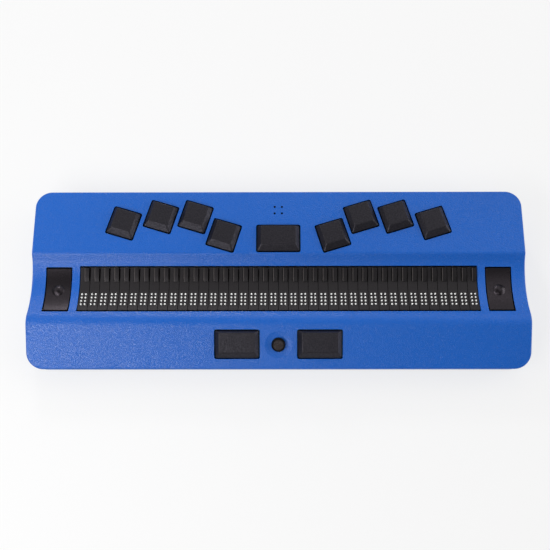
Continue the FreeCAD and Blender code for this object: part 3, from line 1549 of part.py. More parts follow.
def main():
    """Build every sub-part and write them out."""
    top_shell()
    bottom_shell()
    rubber_feet()
    cell_modules()
    for dot in PIN_PLACES:
        braille_pins(dot)
    for group in range(1, ROUTING_GROUPS + 1):
        routing_keys(group)
    cell_chassis()
    cell_backplane()
    rear_keys()
    front_keys()
    key_boards()
    joystick_housing()
    joystick_yoke()
    joystick_stick()
    joystick_knob()
    rocker_pads()
    electronics()
    charging_socket()
    power_button()
    doc.recompute()
    write_parts()


def write_parts():
    """Stop at any failed object or bad solid, then write one STEP file for each sub-part."""
    failed = [obj.Name for obj in doc.Objects if "Invalid" in obj.State or "Error" in obj.State]
    if failed:
        raise RuntimeError(f"objects failed to build: {failed}")
    os.makedirs("parts", exist_ok=True)
    for part in PARTS:
        shape = part.Shape
        if shape.isNull() or not shape.isValid() or not shape.Solids:
            raise RuntimeError(f"{part.Label} has no valid solid")
        shape.exportStep(f"parts/{part.Label}.step")
        bounds = shape.BoundBox
        print(
            f"{part.Label}: {len(shape.Solids)} solid(s), volume {shape.Volume:.1f},"
            f" x {bounds.XMin:.2f}..{bounds.XMax:.2f} y {bounds.YMin:.2f}..{bounds.YMax:.2f}"
            f" z {bounds.ZMin:.2f}..{bounds.ZMax:.2f}"
        )


main()
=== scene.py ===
"""Finished look of a braille display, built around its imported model.

Frame: +X to the reader's right, +Y to the rear, +Z up, origin on the table under the middle of
the housing. The classes hold millimetres and shape their pieces in millimetres; settle() turns
a finished piece to metres.
"""

import logging
import math
import sys
from dataclasses import dataclass
from enum import Enum
from typing import Callable, Sequence

import bmesh
import bpy
from mathutils import Euler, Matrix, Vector

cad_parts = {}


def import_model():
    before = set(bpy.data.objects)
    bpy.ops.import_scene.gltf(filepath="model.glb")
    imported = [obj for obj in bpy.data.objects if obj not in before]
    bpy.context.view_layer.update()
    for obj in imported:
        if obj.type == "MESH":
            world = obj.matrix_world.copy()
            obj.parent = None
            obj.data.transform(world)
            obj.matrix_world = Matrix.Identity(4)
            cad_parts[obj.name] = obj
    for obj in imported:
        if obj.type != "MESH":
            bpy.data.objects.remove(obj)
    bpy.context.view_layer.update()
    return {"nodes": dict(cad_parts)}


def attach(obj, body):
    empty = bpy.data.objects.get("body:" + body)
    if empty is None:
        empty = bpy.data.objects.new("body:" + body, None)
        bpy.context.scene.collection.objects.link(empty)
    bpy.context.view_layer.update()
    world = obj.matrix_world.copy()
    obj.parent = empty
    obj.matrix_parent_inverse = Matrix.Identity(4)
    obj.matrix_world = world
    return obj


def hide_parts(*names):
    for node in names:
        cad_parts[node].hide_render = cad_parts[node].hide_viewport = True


LOG = logging.getLogger("braille_display")
MM = 0.001
Piece = bpy.types.Object
Test = Callable[..., bool]
Point = Sequence[float]

# Places that are nearer than this, in millimetres, count as one
NEAR = 0.02
# What a tool reaches past a face, and what tells a long edge from a short one, in millimetres
CLEAR = 1.0
# How far the normal of a face rises: less on a plumb face or a wall, more on a top or a level face
PLUMB = 0.1
WALL = 0.3
TOP = 0.5
LEVEL = 0.9
# Edges under this angle look smooth
SMOOTH = 32.0
# How much larger faces lead the shading over smaller ones
FACE_WEIGHT = 80
# Fewest faces round an upright corner; a large one has one face for each millimetre of radius
CORNER_STEPS = 4
# Fineness of the noise of a grain, and of a slow drift or a brushed line
GRAIN_DETAIL = 3.0
GRAIN_ROUGHNESS = 0.55
SLOW_DETAIL = 2.0
# Stretches of a noise's output over which a colour or a gloss changes
NOISE_SPAN = (0.3, 0.7)
GLINT_SPAN = (0.35, 0.65)

# Places that several pieces share
VALLEY_MIDDLE = (-3.8, 59.1)
CELLS = 40
CELL_PITCH = 6.42
FIRST_CELL = -(CELLS - 1) / 2 * CELL_PITCH
ROUTING_GROUPS = 8
JOYSTICK_Y = -43.6


class Joining(Enum):
    """How one solid acts on another."""

    CUT = "DIFFERENCE"
    FUSE = "UNION"


class Kind(Enum):
    """What is selected in edit mode."""

    CORNER = "VERT"
    EDGE = "EDGE"
    FACE = "FACE"

    @property
    def store(self) -> str:
        """Name of the mesh's list of these."""
        return self.value.lower() + "s"


# Bench: small steps that every piece is made with
def release() -> None:
    """Leave edit mode and deselect every object."""
    if bpy.context.mode != "OBJECT":
        bpy.ops.object.mode_set(mode="OBJECT")
    bpy.ops.object.select_all(action="DESELECT")


def hold(piece: Piece) -> None:
    """Make one piece the only selected and the active one.

    Args:
        piece: The piece to hold.
    """
    release()
    piece.select_set(True)
    bpy.context.view_layer.objects.active = piece


def freeze(name: str) -> Piece:
    """Name the active piece and keep its place in its mesh.

    Args:
        name: The piece's name.

    Returns:
        The named piece.
    """
    piece = bpy.context.active_object
    piece.name = name
    piece.data.name = name
    bpy.ops.object.transform_apply(location=True, rotation=True, scale=True)
    return piece


def block(name: str, low: Point, high: Point) -> Piece:
    """Start a piece from a block.

    Args:
        name: The piece's name.
        low: Lowest corner.
        high: Highest corner.

    Returns:
        The new piece.
    """
    release()
    middle = [(a + b) / 2 for a, b in zip(low, high)]
    sides = [b - a for a, b in zip(low, high)]
    bpy.ops.mesh.primitive_cube_add(size=1, location=middle, scale=sides)
    return freeze(name)


def drum(name: str, radius: float, low: float, high: float, sides: int = 48) -> Piece:
    """Start a piece from a round bar along Z, centred on the zero point.

    Args:
        name: The piece's name.
        radius: Radius of the bar.
        low: Height of its lower end.
        high: Height of its upper end.
        sides: How many faces go round it.

    Returns:
        The new piece.
    """
    release()
    bpy.ops.mesh.primitive_cylinder_add(
        vertices=sides, radius=radius, depth=high - low, location=(0, 0, (low + high) / 2)
    )
    return freeze(name)


def pick(piece: Piece, kind: Kind, test: Test) -> int:
    """Enter edit mode and select only what passes a test.

    Args:
        piece: The piece to edit.
        kind: Corners, edges or faces.
        test: Says whether one of them is wanted.

    Returns:
        How many were selected.
    """
    hold(piece)
    bpy.ops.object.mode_set(mode="EDIT")
    bpy.ops.mesh.select_mode(type=kind.value)
    bpy.ops.mesh.select_all(action="DESELECT")
    mesh = bmesh.from_edit_mesh(piece.data)
    mesh.normal_update()
    wanted = [item for item in getattr(mesh, kind.store) if test(item)]
    for item in wanted:
        item.select_set(True)
    mesh.select_flush_mode()
    bmesh.update_edit_mesh(piece.data)
    return len(wanted)


def round_edges(piece: Piece, test: Test, width: float, steps: int = 3) -> None:
    """Round the edges that pass a test.

    Args:
        piece: The piece to edit.
        test: Says whether an edge is wanted.
        width: Width of the rounding.
        steps: Faces across it.
    """
    if pick(piece, Kind.EDGE, test):
        bpy.ops.mesh.bevel(offset=width, segments=steps, affect="EDGES")
    release()


def combine(piece: Piece, tool: Piece, how: Joining = Joining.CUT) -> None:
    """Cut a solid away from a piece, or fuse it on, and use the solid up.

    Args:
        piece: The piece that stays.
        tool: The solid that is used up.
        how: Cut or fuse.
    """
    hold(piece)
    change = piece.modifiers.new("combine", "BOOLEAN")
    change.operation = how.value
    change.object = tool
    change.solver = "EXACT"
    bpy.ops.object.modifier_apply(modifier=change.name)
    bpy.data.objects.remove(tool)


def join(pieces: Sequence[Piece], name: str) -> Piece:
    """Join pieces into one.

    Args:
        pieces: The pieces to join.
        name: Name of the result.

    Returns:
        The joined piece.
    """
    hold(pieces[0])
    for piece in pieces:
        piece.select_set(True)
    if len(pieces) > 1:
        bpy.ops.object.join()
    pieces[0].name = name
    pieces[0].data.name = name
    return pieces[0]


def place(piece: Piece, origin: Point = (0, 0, 0), turn: Point = (0, 0, 0)) -> Piece:
    """Turn a piece about the zero point, then move it, all in its mesh.

    Args:
        piece: The piece to move.
        origin: Where its zero point goes.
        turn: Turns about X, Y and Z in degrees.

    Returns:
        The same piece.
    """
    hold(piece)
    piece.rotation_euler = Euler([math.radians(angle) for angle in turn])
    piece.location = origin
    bpy.ops.object.transform_apply(location=True, rotation=True, scale=True)
    return piece


def row(piece: Piece, count: int, step: float) -> None:
    """Repeat a piece along X.

    Args:
        piece: The piece to repeat.
        count: How many there are in the end.
        step: Distance from one to the next.
    """
    hold(piece)
    change = piece.modifiers.new("row", "ARRAY")
    change.use_relative_offset = False
    change.use_constant_offset = True
    change.constant_offset_displace = (step, 0, 0)
    change.count = count
    bpy.ops.object.modifier_apply(modifier=change.name)


def profile_block(name: str, half: float, points: Sequence[Point]) -> Piece:
    """Draw an edge along a side profile and close it to a solid.

    Args:
        name: The piece's name.
        half: Half of its width in X.
        points: (Y, Z) points of the profile; the last joins the first.

    Returns:
        The new piece.
    """
    release()
    start = points[0]
    bpy.ops.mesh.primitive_plane_add(size=2 * half, location=(0, start[0] + half, start[1]))
    piece = freeze(name)
    pick(piece, Kind.CORNER, lambda corner: corner.co.y > start[0] + half)
    bpy.ops.mesh.delete(type="VERT")
    bpy.ops.mesh.select_all(action="SELECT")
    for here, there in zip(points, points[1:]):
        move = (0, there[0] - here[0], there[1] - here[1])
        bpy.ops.mesh.extrude_region_move(TRANSFORM_OT_translate={"value": move})
    ends = (Vector(points[0]), Vector(points[-1]))
    pick(
        piece,
        Kind.CORNER,
        lambda corner: min((corner.co.yz - end).length for end in ends) < NEAR / 2,
    )
    bpy.ops.mesh.edge_face_add()
    for side in (-1, 1):
        pick(piece, Kind.CORNER, lambda corner: corner.co.x * side > 0)
        bpy.ops.mesh.edge_face_add()
    bpy.ops.mesh.select_all(action="SELECT")
    bpy.ops.mesh.normals_make_consistent(inside=False)
    release()
    return piece


def upright(edge: bmesh.types.BMEdge) -> bool:
    """Whether an edge runs along Z."""
    return (edge.verts[0].co - edge.verts[1].co).xy.length < NEAR / 2


def crosswise(edge: bmesh.types.BMEdge) -> bool:
    """Whether an edge runs clearly along X."""
    return abs(edge.verts[0].co.x - edge.verts[1].co.x) > CLEAR


def at_height(height: float) -> Test:
    """Test for edges that lie wholly at one height."""
    return lambda edge: all(abs(corner.co.z - height) < NEAR / 2 for corner in edge.verts)


def prism(name: str, width: float, depth: float, low: float, high: float, corner: float) -> Piece:
    """Start a piece from a block with round upright edges, centred on the zero point.

    Args:
        name: The piece's name.
        width: Size in X.
        depth: Size in Y.
        low: Height of its lower face.
        high: Height of its upper face.
        corner: Radius of the upright edges.

    Returns:
        The new piece.
    """
    piece = block(name, (-width / 2, -depth / 2, low), (width / 2, depth / 2, high))
    round_edges(piece, upright, corner, max(CORNER_STEPS, round(corner)))
    return piece


def settle(piece: Piece, material: bpy.types.Material, angle: float = SMOOTH) -> Piece:
    """Bring a finished piece to metres, shade it and give it its material.

    Args:
        piece: The finished piece, in millimetres.
        material: Its finish.
        angle: Edges under this angle look smooth.

    Returns:
        The same piece.
    """
    hold(piece)
    piece.scale = (MM, MM, MM)
    bpy.ops.object.transform_apply(location=True, rotation=True, scale=True)
    bpy.ops.object.shade_smooth_by_angle(angle=math.radians(angle))
    even = piece.modifiers.new("even", "WEIGHTED_NORMAL")
    even.keep_sharp = True
    even.weight = FACE_WEIGHT
    bpy.ops.object.modifier_apply(modifier=even.name)
    piece.data.materials.clear()
    piece.data.materials.append(material)
    release()
    return piece


def fit(piece: Piece, body: str, nodes: Sequence[str] = ()) -> None:
    """Let a piece ride on its body, in the place of the nodes that it stands for.

    Args:
        piece: The settled piece.
        body: The body that it moves with.
        nodes: The nodes that it stands for.
    """
    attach(piece, body)
    if nodes:
        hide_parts(*nodes)
    LOG.info("%s rides on %s: %d faces", piece.name, body, len(piece.data.polygons))


@dataclass(frozen=True)
class Valley:
    """Circle, seen from the side, that the cells and the pads follow, just under the skin."""

    y: float = VALLEY_MIDDLE[0]
    z: float = VALLEY_MIDDLE[1]
    radius: float = 40.15

    def height(self, y: float) -> float:
        """Height of the circle's lower half at a place."""
        return self.z - math.sqrt(self.radius**2 - (y - self.y) ** 2)

    def chord(self, rear: float, front: float) -> tuple[Point, float]:
        """Middle of a chord, and how steeply it rises to the rear.

        Args:
            rear: Y of its rear end.
            front: Y of its front end.

        Returns:
            The middle and the slope in degrees.
        """
        high, low = self.height(rear), self.height(front)
        slope = math.degrees(math.atan2(high - low, rear - front))
        return (0, (rear + front) / 2, (high + low) / 2), slope


# Finishes
def linear(code: str) -> tuple[float, float, float, float]:
    """Turn an sRGB hex value to linear light.

    Args:
        code: The value, as #RRGGBB.

    Returns:
        Red, green and blue by the sRGB curve, and full cover.
    """
    parts = [int(code[i : i + 2], 16) / 255 for i in (1, 3, 5)]
    light = [p / 12.92 if p <= 0.04045 else ((p + 0.055) / 1.055) ** 2.4 for p in parts]
    return (light[0], light[1], light[2], 1.0)


def add(tree: bpy.types.NodeTree, kind: str, inputs: dict, **settings: object) -> bpy.types.Node:
    """Add a node with its settings, values and links.

    Args:
        tree: The material's tree.
        kind: The node's type.
        inputs: Socket name to a value, or to the output that is linked to it.
        settings: Properties of the node.

    Returns:
        The new node.
    """
    made = tree.nodes.new(kind)
    for key, value in settings.items():
        setattr(made, key, value)
    for key, value in inputs.items():
        if isinstance(value, bpy.types.NodeSocket):
            tree.links.new(value, made.inputs[key])
        else:
            made.inputs[key].default_value = value
    return made


def per_metre(size: float) -> float:
    """Scale of a pattern whose grains are this many millimetres across."""
    return 1 / (size * MM)


@dataclass(frozen=True)
class Finish:
    """A surface with a grain, small changes of colour and an uneven gloss.

    The colour drifts to the shade and back over the drift, in millimetres. The grain is the
    width of one bump and the depth its height, also in millimetres. The roughness changes by the
    spread, and the specular level by the sparkle's share, from bump to hollow. The cast tints
    what the surface mirrors.
    """

    name: str
    colour: str
    shade: str
    roughness: float
    spread: float = 0.06
    grain: float = 0.5
    depth: float = 0.02
    drift: float = 40.0
    metallic: float = 0.0
    ior: float = 1.5
    specular: float = 0.5
    sparkle: float = 0.0
    cast: str = "#FFFFFF"

    def pattern(self, tree: bpy.types.NodeTree) -> tuple:
        """Lay the grain.

        Args:
            tree: The material's tree.

        Returns:
            The height output and the vector output that it reads.
        """
        place_of = add(tree, "ShaderNodeTexCoord", {}).outputs["Object"]
        grain = add(
            tree,
            "ShaderNodeTexNoise",
            {
                "Vector": place_of,
                "Scale": per_metre(self.grain),
                "Detail": GRAIN_DETAIL,
                "Roughness": GRAIN_ROUGHNESS,
            },
        )
        return grain.outputs["Fac"], place_of

    def tint(self, tree: bpy.types.NodeTree, place_of: bpy.types.NodeSocket) -> tuple:
        """Colour by a slow noise.

        Args:
            tree: The material's tree.
            place_of: The vector output that gives the place.

        Returns:
            The output that drives the ramp, and the ramp's stops.
        """
        drift = add(
            tree,
            "ShaderNodeTexNoise",
            {"Vector": place_of, "Scale": per_metre(self.drift), "Detail": SLOW_DETAIL},
        )
        return drift.outputs["Fac"], tuple(zip(NOISE_SPAN, (self.shade, self.colour)))

    def material(self) -> bpy.types.Material:
        """Build the node material.

        Returns:
            The material.
        """
        made = bpy.data.materials.new(self.name)
        made.use_nodes = True
        tree = made.node_tree
        shader = tree.nodes["Principled BSDF"]
        height, place_of = self.pattern(tree)
        driver, stops = self.tint(tree, place_of)
        tint = add(tree, "ShaderNodeValToRGB", {"Fac": driver})
        ramp = tint.color_ramp.elements
        while len(ramp) < len(stops):
            ramp.new(0.5)
        for element, (position, code) in zip(ramp, stops):
            element.position = position
            element.color = linear(code)
        gloss = add(
            tree,
            "ShaderNodeMapRange",
            {
                "Value": height,
                "From Min": NOISE_SPAN[0],
                "From Max": NOISE_SPAN[1],
                "To Min": self.roughness - self.spread,
                "To Max": self.roughness + self.spread,
            },
        )
        glint = add(
            tree,
            "ShaderNodeMapRange",
            {
                "Value": height,
                "From Min": GLINT_SPAN[0],
                "From Max": GLINT_SPAN[1],
                "To Min": self.specular * (1 + self.sparkle),
                "To Max": self.specular * (1 - self.sparkle),
            },
        )
        relief = add(tree, "ShaderNodeBump", {"Height": height, "Distance": self.depth * MM})
        tree.links.new(tint.outputs["Color"], shader.inputs["Base Color"])
        tree.links.new(gloss.outputs["Result"], shader.inputs["Roughness"])
        tree.links.new(relief.outputs["Normal"], shader.inputs["Normal"])
        shader.inputs["Metallic"].default_value = self.metallic
        shader.inputs["IOR"].default_value = self.ior
        tree.links.new(glint.outputs["Result"], shader.inputs["Specular IOR Level"])
        shader.inputs["Specular Tint"].default_value = linear(self.cast)
        return made


@dataclass(frozen=True)
class Brushed(Finish):
    """Metal with fine lines along X."""

    stretch: float = 25.0

    def pattern(self, tree: bpy.types.NodeTree) -> tuple:
        """Lay the brush lines.

        Args:
            tree: The material's tree.

        Returns:
            The height output and the vector output that it reads.
        """
        place_of = add(tree, "ShaderNodeTexCoord", {}).outputs["Object"]
        scale = (1 / self.stretch, 1, 1)
        drawn = add(tree, "ShaderNodeMapping", {"Vector": place_of, "Scale": scale})
        lines = add(
            tree,
            "ShaderNodeTexNoise",
            {
                "Vector": drawn.outputs["Vector"],
                "Scale": per_metre(self.grain),
                "Detail": SLOW_DETAIL,
            },
        )
        return lines.outputs["Fac"], place_of


@dataclass(frozen=True)
class PaintedHighlightLine(Finish):
    """Moulded plastic with a painted highlight: one lighter line along each key of a row in X,
    where its raised edge would catch the light.

    The line is how far it lies from the middle of its cell, and half is how far it reaches to
    each side of that, in millimetres.
    """

    first: float = FIRST_CELL
    pitch: float = CELL_PITCH
    line: float = 0.05
    half: float = 0.25
    # Colour of the painted highlight
    painted_highlight: str = "#57514F"

    def tint(self, tree: bpy.types.NodeTree, place_of: bpy.types.NodeSocket) -> tuple:
        """Paint the highlight line by the place across one key.

        Args:
            tree: The material's tree.
            place_of: The vector output that gives the place.

        Returns:
            The output that drives the ramp, and the ramp's stops.
        """
        across = add(tree, "ShaderNodeSeparateXYZ", {0: place_of}).outputs["X"]
        count = add(
            tree,
            "ShaderNodeMath",
            {0: across, 1: 1 / (self.pitch * MM), 2: 0.5 - self.first / self.pitch},
            operation="MULTIPLY_ADD",
        )
        share = add(tree, "ShaderNodeMath", {0: count.outputs[0]}, operation="FRACT")
        middle, reach = 0.5 + self.line / self.pitch, self.half / self.pitch
        # The middle stop is the painted highlight along the key's raised edge
        stops = (
            (middle - reach, self.shade),
            (middle, self.painted_highlight),
            (middle + reach, self.colour),
        )
        return share.outputs[0], stops


@dataclass(frozen=True)
class Board(Finish):
    """Glass-fibre laminate under solder mask, with copper tracks showing as low ridges.

    One unit of the brick pattern is this many millimetres: a field between the tracks is half a
    unit long and a quarter wide. The line is the pattern's joint in that unit, and the heights
    are those of two kinds of field and of the tracks.
    """

    unit: float = 16.0
    line: float = 0.02
    heights: tuple = (0.5, 0.4, 0.75)

    def pattern(self, tree: bpy.types.NodeTree) -> tuple:
        """Lay the tracks.

        Args:
            tree: The material's tree.

        Returns:
            The height output and the vector output that it reads.
        """
        place_of = add(tree, "ShaderNodeTexCoord", {}).outputs["Object"]
        names = ("Color1", "Color2", "Mortar")
        greys = {name: (grey, grey, grey, 1) for name, grey in zip(names, self.heights)}
        scale = per_metre(self.unit)
        tracks = add(
            tree,
            "ShaderNodeTexBrick",
            {"Vector": place_of, "Scale": scale, "Mortar Size": self.line, **greys},
        )
        return tracks.outputs["Color"], place_of


class Finishes:
    """Every finish of the display, made once."""

    def __init__(self) -> None:
        """Build the materials.

        The real grain of each moulded piece is about 0.1 mm, too fine to show in a picture of
        the whole display, so each is drawn as coarse as its grain value says.
        """
        # Spark-eroded ABS: a soft grain that glitters where the light rakes it
        self.housing = Finish(
            "abs_spark_eroded_blue", "#0C5EBF", "#0B5BBA",
            roughness=0.31, spread=0.07, grain=0.8, depth=0.26, drift=90.0,
            specular=0.46, sparkle=0.42,
        ).material()
        # Painted shade inside the openings: black and dull walls stand in for the shadow in each
        # gap, so each gap reads as a dark line
        self.inner = Finish(
            "painted_shade_black", "#0B0B0C", "#090909",
            roughness=0.8, spread=0.05, depth=0.01, specular=0.1,
        ).material()
        # Moulded ABS key tops: satin, with a fine grain that the side light picks out
        self.key = Finish(
            "abs_satin_black", "#0F0E12", "#0D0C10",
            roughness=0.46, spread=0.08, grain=0.9, depth=0.12,
            specular=0.45, sparkle=0.25, cast="#F3EEFF",
        ).material()
        # Moulded polyamide of the cells: semi-matt
        self.cell = Finish(
            "polyamide_black", "#100F0F", "#0E0D0D",
            roughness=0.52, spread=0.05, grain=0.4, specular=0.42, cast="#FFF7FF",
        ).material()
        # Routing keys: moulded acetal, with a lighter line painted along the raised left-hand edge
        # as a highlight
        self.routing = PaintedHighlightLine(
            "acetal_black_painted_highlight", "#0C0B0B", "#0A0A0A",
            roughness=0.48, spread=0.05, grain=0.4, specular=0.34, cast="#FFF7FF",
        ).material()
        # Pins: moulded white acetal, smooth, so each dot is an even bright point
        self.pin = Finish(
            "acetal_white", "#F4F5F3", "#F0F1EF",
            roughness=0.3, spread=0.03, grain=0.2, depth=0.002,
        ).material()
        # Pad tops: moulded soft-touch elastomer with a low sheen
        self.pad = Finish(
            "elastomer_black", "#0E0D0E", "#0C0B0C",
            roughness=0.31, spread=0.05, grain=0.7, depth=0.05,
            specular=0.4, sparkle=0.2, cast="#FFEEFF",
        ).material()
        # Flank of the knob: dull moulded rubber that gives nothing back
        self.flank = Finish(
            "rubber_matt_black", "#0A090A", "#080708",
            roughness=0.75, spread=0.05, specular=0.12,
        ).material()
        # Crown of the knob: coarse rubber that grips the fingertip, with speckled highlights
        self.crown = Finish(
            "rubber_coarse_black", "#2B2022", "#171112",
            roughness=0.6, spread=0.1, grain=0.8, depth=0.4, drift=1.2,
            specular=0.38, sparkle=0.6,
        ).material()
        # Feet: moulded rubber, dull and dark grey
        self.rubber = Finish(
            "rubber_ribbed_black", "#1C1C1C", "#181818",
            roughness=0.8, spread=0.05, depth=0.03,
        ).material()
        # Boards: etched laminate, so the tracks catch the light as low ridges
        self.board = Board(
            "laminate_green", "#1E5A32", "#1A4E2C",
            roughness=0.35, spread=0.04, depth=0.03,
        ).material()
        # Screws, socket shell and stick: drawn and brushed steel with long fine streaks
        self.steel = Brushed(
            "steel_brushed", "#B8B9BC", "#A8A9AC",
            roughness=0.3, spread=0.06, grain=0.15, depth=0.004, metallic=1.0,
        ).material()
        # Chassis: bead-blasted aluminium, an even soft grey
        self.aluminium = Finish(
            "aluminium_blasted", "#C2C4C6", "#B6B8BA",
            roughness=0.5, spread=0.05, grain=0.2, depth=0.01, metallic=1.0,
        ).material()
        # Switches and guides: moulded nylon, plain and semi-matt
        self.switch = Finish(
            "nylon_grey", "#434446", "#3D3E40",
            roughness=0.5, spread=0.05, grain=0.4, depth=0.01,
        ).material()
        # Battery: shrunk sleeve, glossy with slow creases
        self.wrap = Finish(
            "shrink_wrap_blue", "#27406E", "#223A66",
            roughness=0.3, spread=0.05, grain=8.0, depth=0.1,
        ).material()
        # Ribbon: rolled polyimide film, amber and fairly glossy
        self.amber = Finish(
            "polyimide_amber", "#A8621C", "#9A5818",
            roughness=0.3, spread=0.04, grain=1.0, depth=0.01,
        ).material()


# Housing
@dataclass(frozen=True)
class Arc:
    """Round stretch of the side profile, with its angles counted from +Y towards +Z."""

    y: float
    z: float
    radius: float
    start: float
    end: float
    steps: int
    hollow: bool = False

    def points(self, inset: float) -> list[tuple[float, float]]:
        """Points along the arc, from the rear to the front.

        Args:
            inset: How far the profile is drawn in under the skin.

        Returns:
            (Y, Z) points.
        """
        radius = self.radius + inset if self.hollow else self.radius - inset
        turns = [
            math.radians(self.start + (self.end - self.start) * i / self.steps)
            for i in range(self.steps + 1)
        ]
        return [(self.y + radius * math.cos(t), self.z + radius * math.sin(t)) for t in turns]


@dataclass
class Housing:
    """Upper housing: one skin with a flat deck, a valley for the line and a sloping palm rest."""

    finishes: Finishes
    # Outline and side profile
    width: float = 319.6
    depth: float = 116.5
    deck: float = 25.0
    front: float = 15.2
    slope: float = 21.2
    base: float = 4.2
    wall: float = 2.2
    corner: float = 10.5
    corner_height: float = 5.0
    edge: float = 1.0
    lean: float = 10.0
    seam: float = 0.3
    # Sharp rims that are broken, at least this far in from the outline
    rim: float = 0.12
    rim_angle: float = 50.0
    rim_margin: float = 4.0
    # Joystick's dish and hole
    dish_radius: float = 9.0
    dish_depth: float = 0.85
    dish_turn: float = 0.01
    hole_radius: float = 4.4
    hole_cut: tuple = (-5, 2)
    # Openings of the line, the pads, the keys and the rear wall; a cut is the reach of its tool
    line_half: float = 128.7
    line_rear: float = 8.2
    line_front: float = -22.65
    pad_x: float = 142.2
    pad_opening: float = 17.0
    pad_rear: float = 7.5
    line_corner: float = 0.5
    line_cut: tuple = (10, 40)
    key_corner: float = 1.2
    key_cut: tuple = (-6, 4)
    socket_opening: tuple = (-124.0, 9.25, 9.4, 3.7)
    power_opening: tuple = (-98.0, 10.0, 9.5, 4.1)
    rear_corner: float = 1.1
    rear_cut: tuple = (-60, -54)
    sound_places: tuple = ((-2.38, 42.95), (-2.38, 47.45), (2.38, 42.95), (2.38, 47.45))
    sound_radius: float = 0.72
    sound_cut: tuple = (-4, 2)
    # What stays blue and takes no painted shade: a margin of the outline, the foot, and the walls
    # just under the skin
    dark_margin: float = 1.5
    dark_foot: float = 0.5
    dark_sink: float = 0.1
    arcs: tuple = (
        Arc(16.78, 21.0, radius=4.0, start=90.0, end=123.0, steps=6),
        Arc(5.655, 32.854, radius=12.0, start=-57.0, end=-70.17, steps=4, hollow=True),
        Arc(*VALLEY_MIDDLE, radius=39.9, start=-70.17, end=-119.75, steps=26, hollow=True),
        Arc(-28.82, 15.35, radius=10.5, start=60.25, end=111.2, steps=14),
    )

    def palm(self, y: float) -> float:
        """Height of the palm rest."""
        return self.front + math.tan(math.radians(self.slope)) * (y + self.depth / 2)

    def lean_run(self, height: float) -> float:
        """How far the leaning front wall has come in at a height."""
        return (self.front - height) * math.tan(math.radians(self.lean))

    def on_palm(self, x: float, y: float) -> tuple[Point, Point]:
        """Place and turn of a piece that stands square on the palm rest."""
        return (x, y, self.palm(y)), (self.slope, 0, 0)

    def wave(self, inset: float) -> list[tuple[float, float]]:
        """Top profile from the rear to the front.

        Args:
            inset: How far it is drawn in under the skin.

        Returns:
            (Y, Z) points.
        """
        far = self.depth / 2 - inset
        low = self.palm(-far) - inset / math.cos(math.radians(self.slope))
        middle = [point for arc in self.arcs for point in arc.points(inset)]
        kept = [a for a, b in zip(middle, middle[1:]) if math.dist(a, b) > NEAR]
        return [(far, self.deck - inset), *kept, middle[-1], (-far, low)]

    def skin(self, y: float) -> float:
        """Height of the outer skin at a place between the rear and the front.

        Args:
            y: The place.

        Returns:
            The height.
        """
        points = self.wave(0.0)
        for (y0, z0), (y1, z1) in zip(points, points[1:]):
            if y1 <= y <= y0 and y0 > y1:
                return z0 + (z1 - z0) * (y0 - y) / (y0 - y1)
        return self.deck

    def wave_solid(self, name: str, inset: float, low: float) -> Piece:
        """Solid under the profile with round upright corners.

        Args:
            name: The piece's name.
            inset: How far it is drawn in.
            low: Height of its flat base.

        Returns:
            The new piece.
        """
        far = self.depth / 2 - inset
        wave = self.wave(inset)
        foot = (wave[-1][1] - low) * math.tan(math.radians(self.lean)) - far
        piece = profile_block(name, self.width / 2 - inset, [(far, low), *wave, (foot, low)])

        def corner_edge(edge: bmesh.types.BMEdge) -> bool:
            """Whether an edge runs up one of the four corners.

            Args:
                edge: The edge to test.

            Returns:
                True where it does.
            """
            foot_end, top_end = sorted((corner.co for corner in edge.verts), key=lambda co: co.z)
            tall = top_end.z - foot_end.z > self.corner_height
            return tall and abs(top_end.y) > far - NEAR

        round_edges(piece, corner_edge, self.corner - inset, steps=14)
        return piece

    def openings(self) -> list[Piece]:
        """Solids that open the deck, the valley, the palm rest and the rear wall.

        Returns:
            The solids to cut away.
        """
        spans = (
            (0, 2 * self.line_half, self.line_rear),
            (-self.pad_x, self.pad_opening, self.pad_rear),
            (self.pad_x, self.pad_opening, self.pad_rear),
        )
        tools = []
        for x, width, rear in spans:
            tool = prism("span", width, rear - self.line_front, *self.line_cut, self.line_corner)
            tools.append(place(tool, (x, (rear + self.line_front) / 2, 0)))
        for spot in key_spots(self):
            tool = prism("key", spot.width, spot.depth, *self.key_cut, self.key_corner)
            tools.append(place(tool, spot.origin, spot.turn))
        for x, z, width, height in (self.socket_opening, self.power_opening):
            tool = prism("rear", width, height, *self.rear_cut, self.rear_corner)
            tools.append(place(tool, (x, 0, z), (90, 0, 0)))
        return tools

    def soften(self, piece: Piece) -> None:
        """Break the sharp rims of the openings where they meet the skin.

        Args:
            piece: The shell with its openings.
        """
        reach = (self.width / 2 - self.rim_margin, self.depth / 2 - self.rim_margin)

        def rim(edge: bmesh.types.BMEdge) -> bool:
            """Whether an edge lies on the skin and is sharp.

            Args:
                edge: The edge to test.

            Returns:
                True where it does.
            """
            if not edge.is_manifold or edge.calc_face_angle(0) < math.radians(self.rim_angle):
                return False
            return all(
                abs(corner.co.x) < reach[0]
                and abs(corner.co.y) < reach[1]
                and abs(corner.co.z - self.skin(corner.co.y)) < NEAR
                for corner in edge.verts
            )

        round_edges(piece, rim, self.rim, steps=2)

    def build(self) -> None:
        """Model and dress the upper housing."""
        shell = self.wave_solid("housing_shell", 0.0, self.base)

        def outline(edge: bmesh.types.BMEdge) -> bool:
            """Whether an edge runs between the top and a side wall.

            Args:
                edge: The edge to test.

            Returns:
                True where it does.
            """
            if len(edge.link_faces) != 2:
                return False
            rises = sorted(abs(face.normal.z) for face in edge.link_faces)
            high = edge.verts[0].co.z > self.base + CLEAR
            return high and rises[0] < WALL and rises[1] > TOP

        round_edges(shell, outline, self.edge, steps=5)
        round_edges(shell, at_height(self.base), self.seam, steps=2)
        combine(shell, self.wave_solid("core", self.wall, self.base - CLEAR))
        for tool in self.openings():
            combine(shell, tool)
        self.soften(shell)
        self.dish(shell)
        self.sound_holes(shell)
        settle(shell, self.finishes.housing)
        self.paint_shade(shell)
        fit(shell, "housing", ["top_shell"])

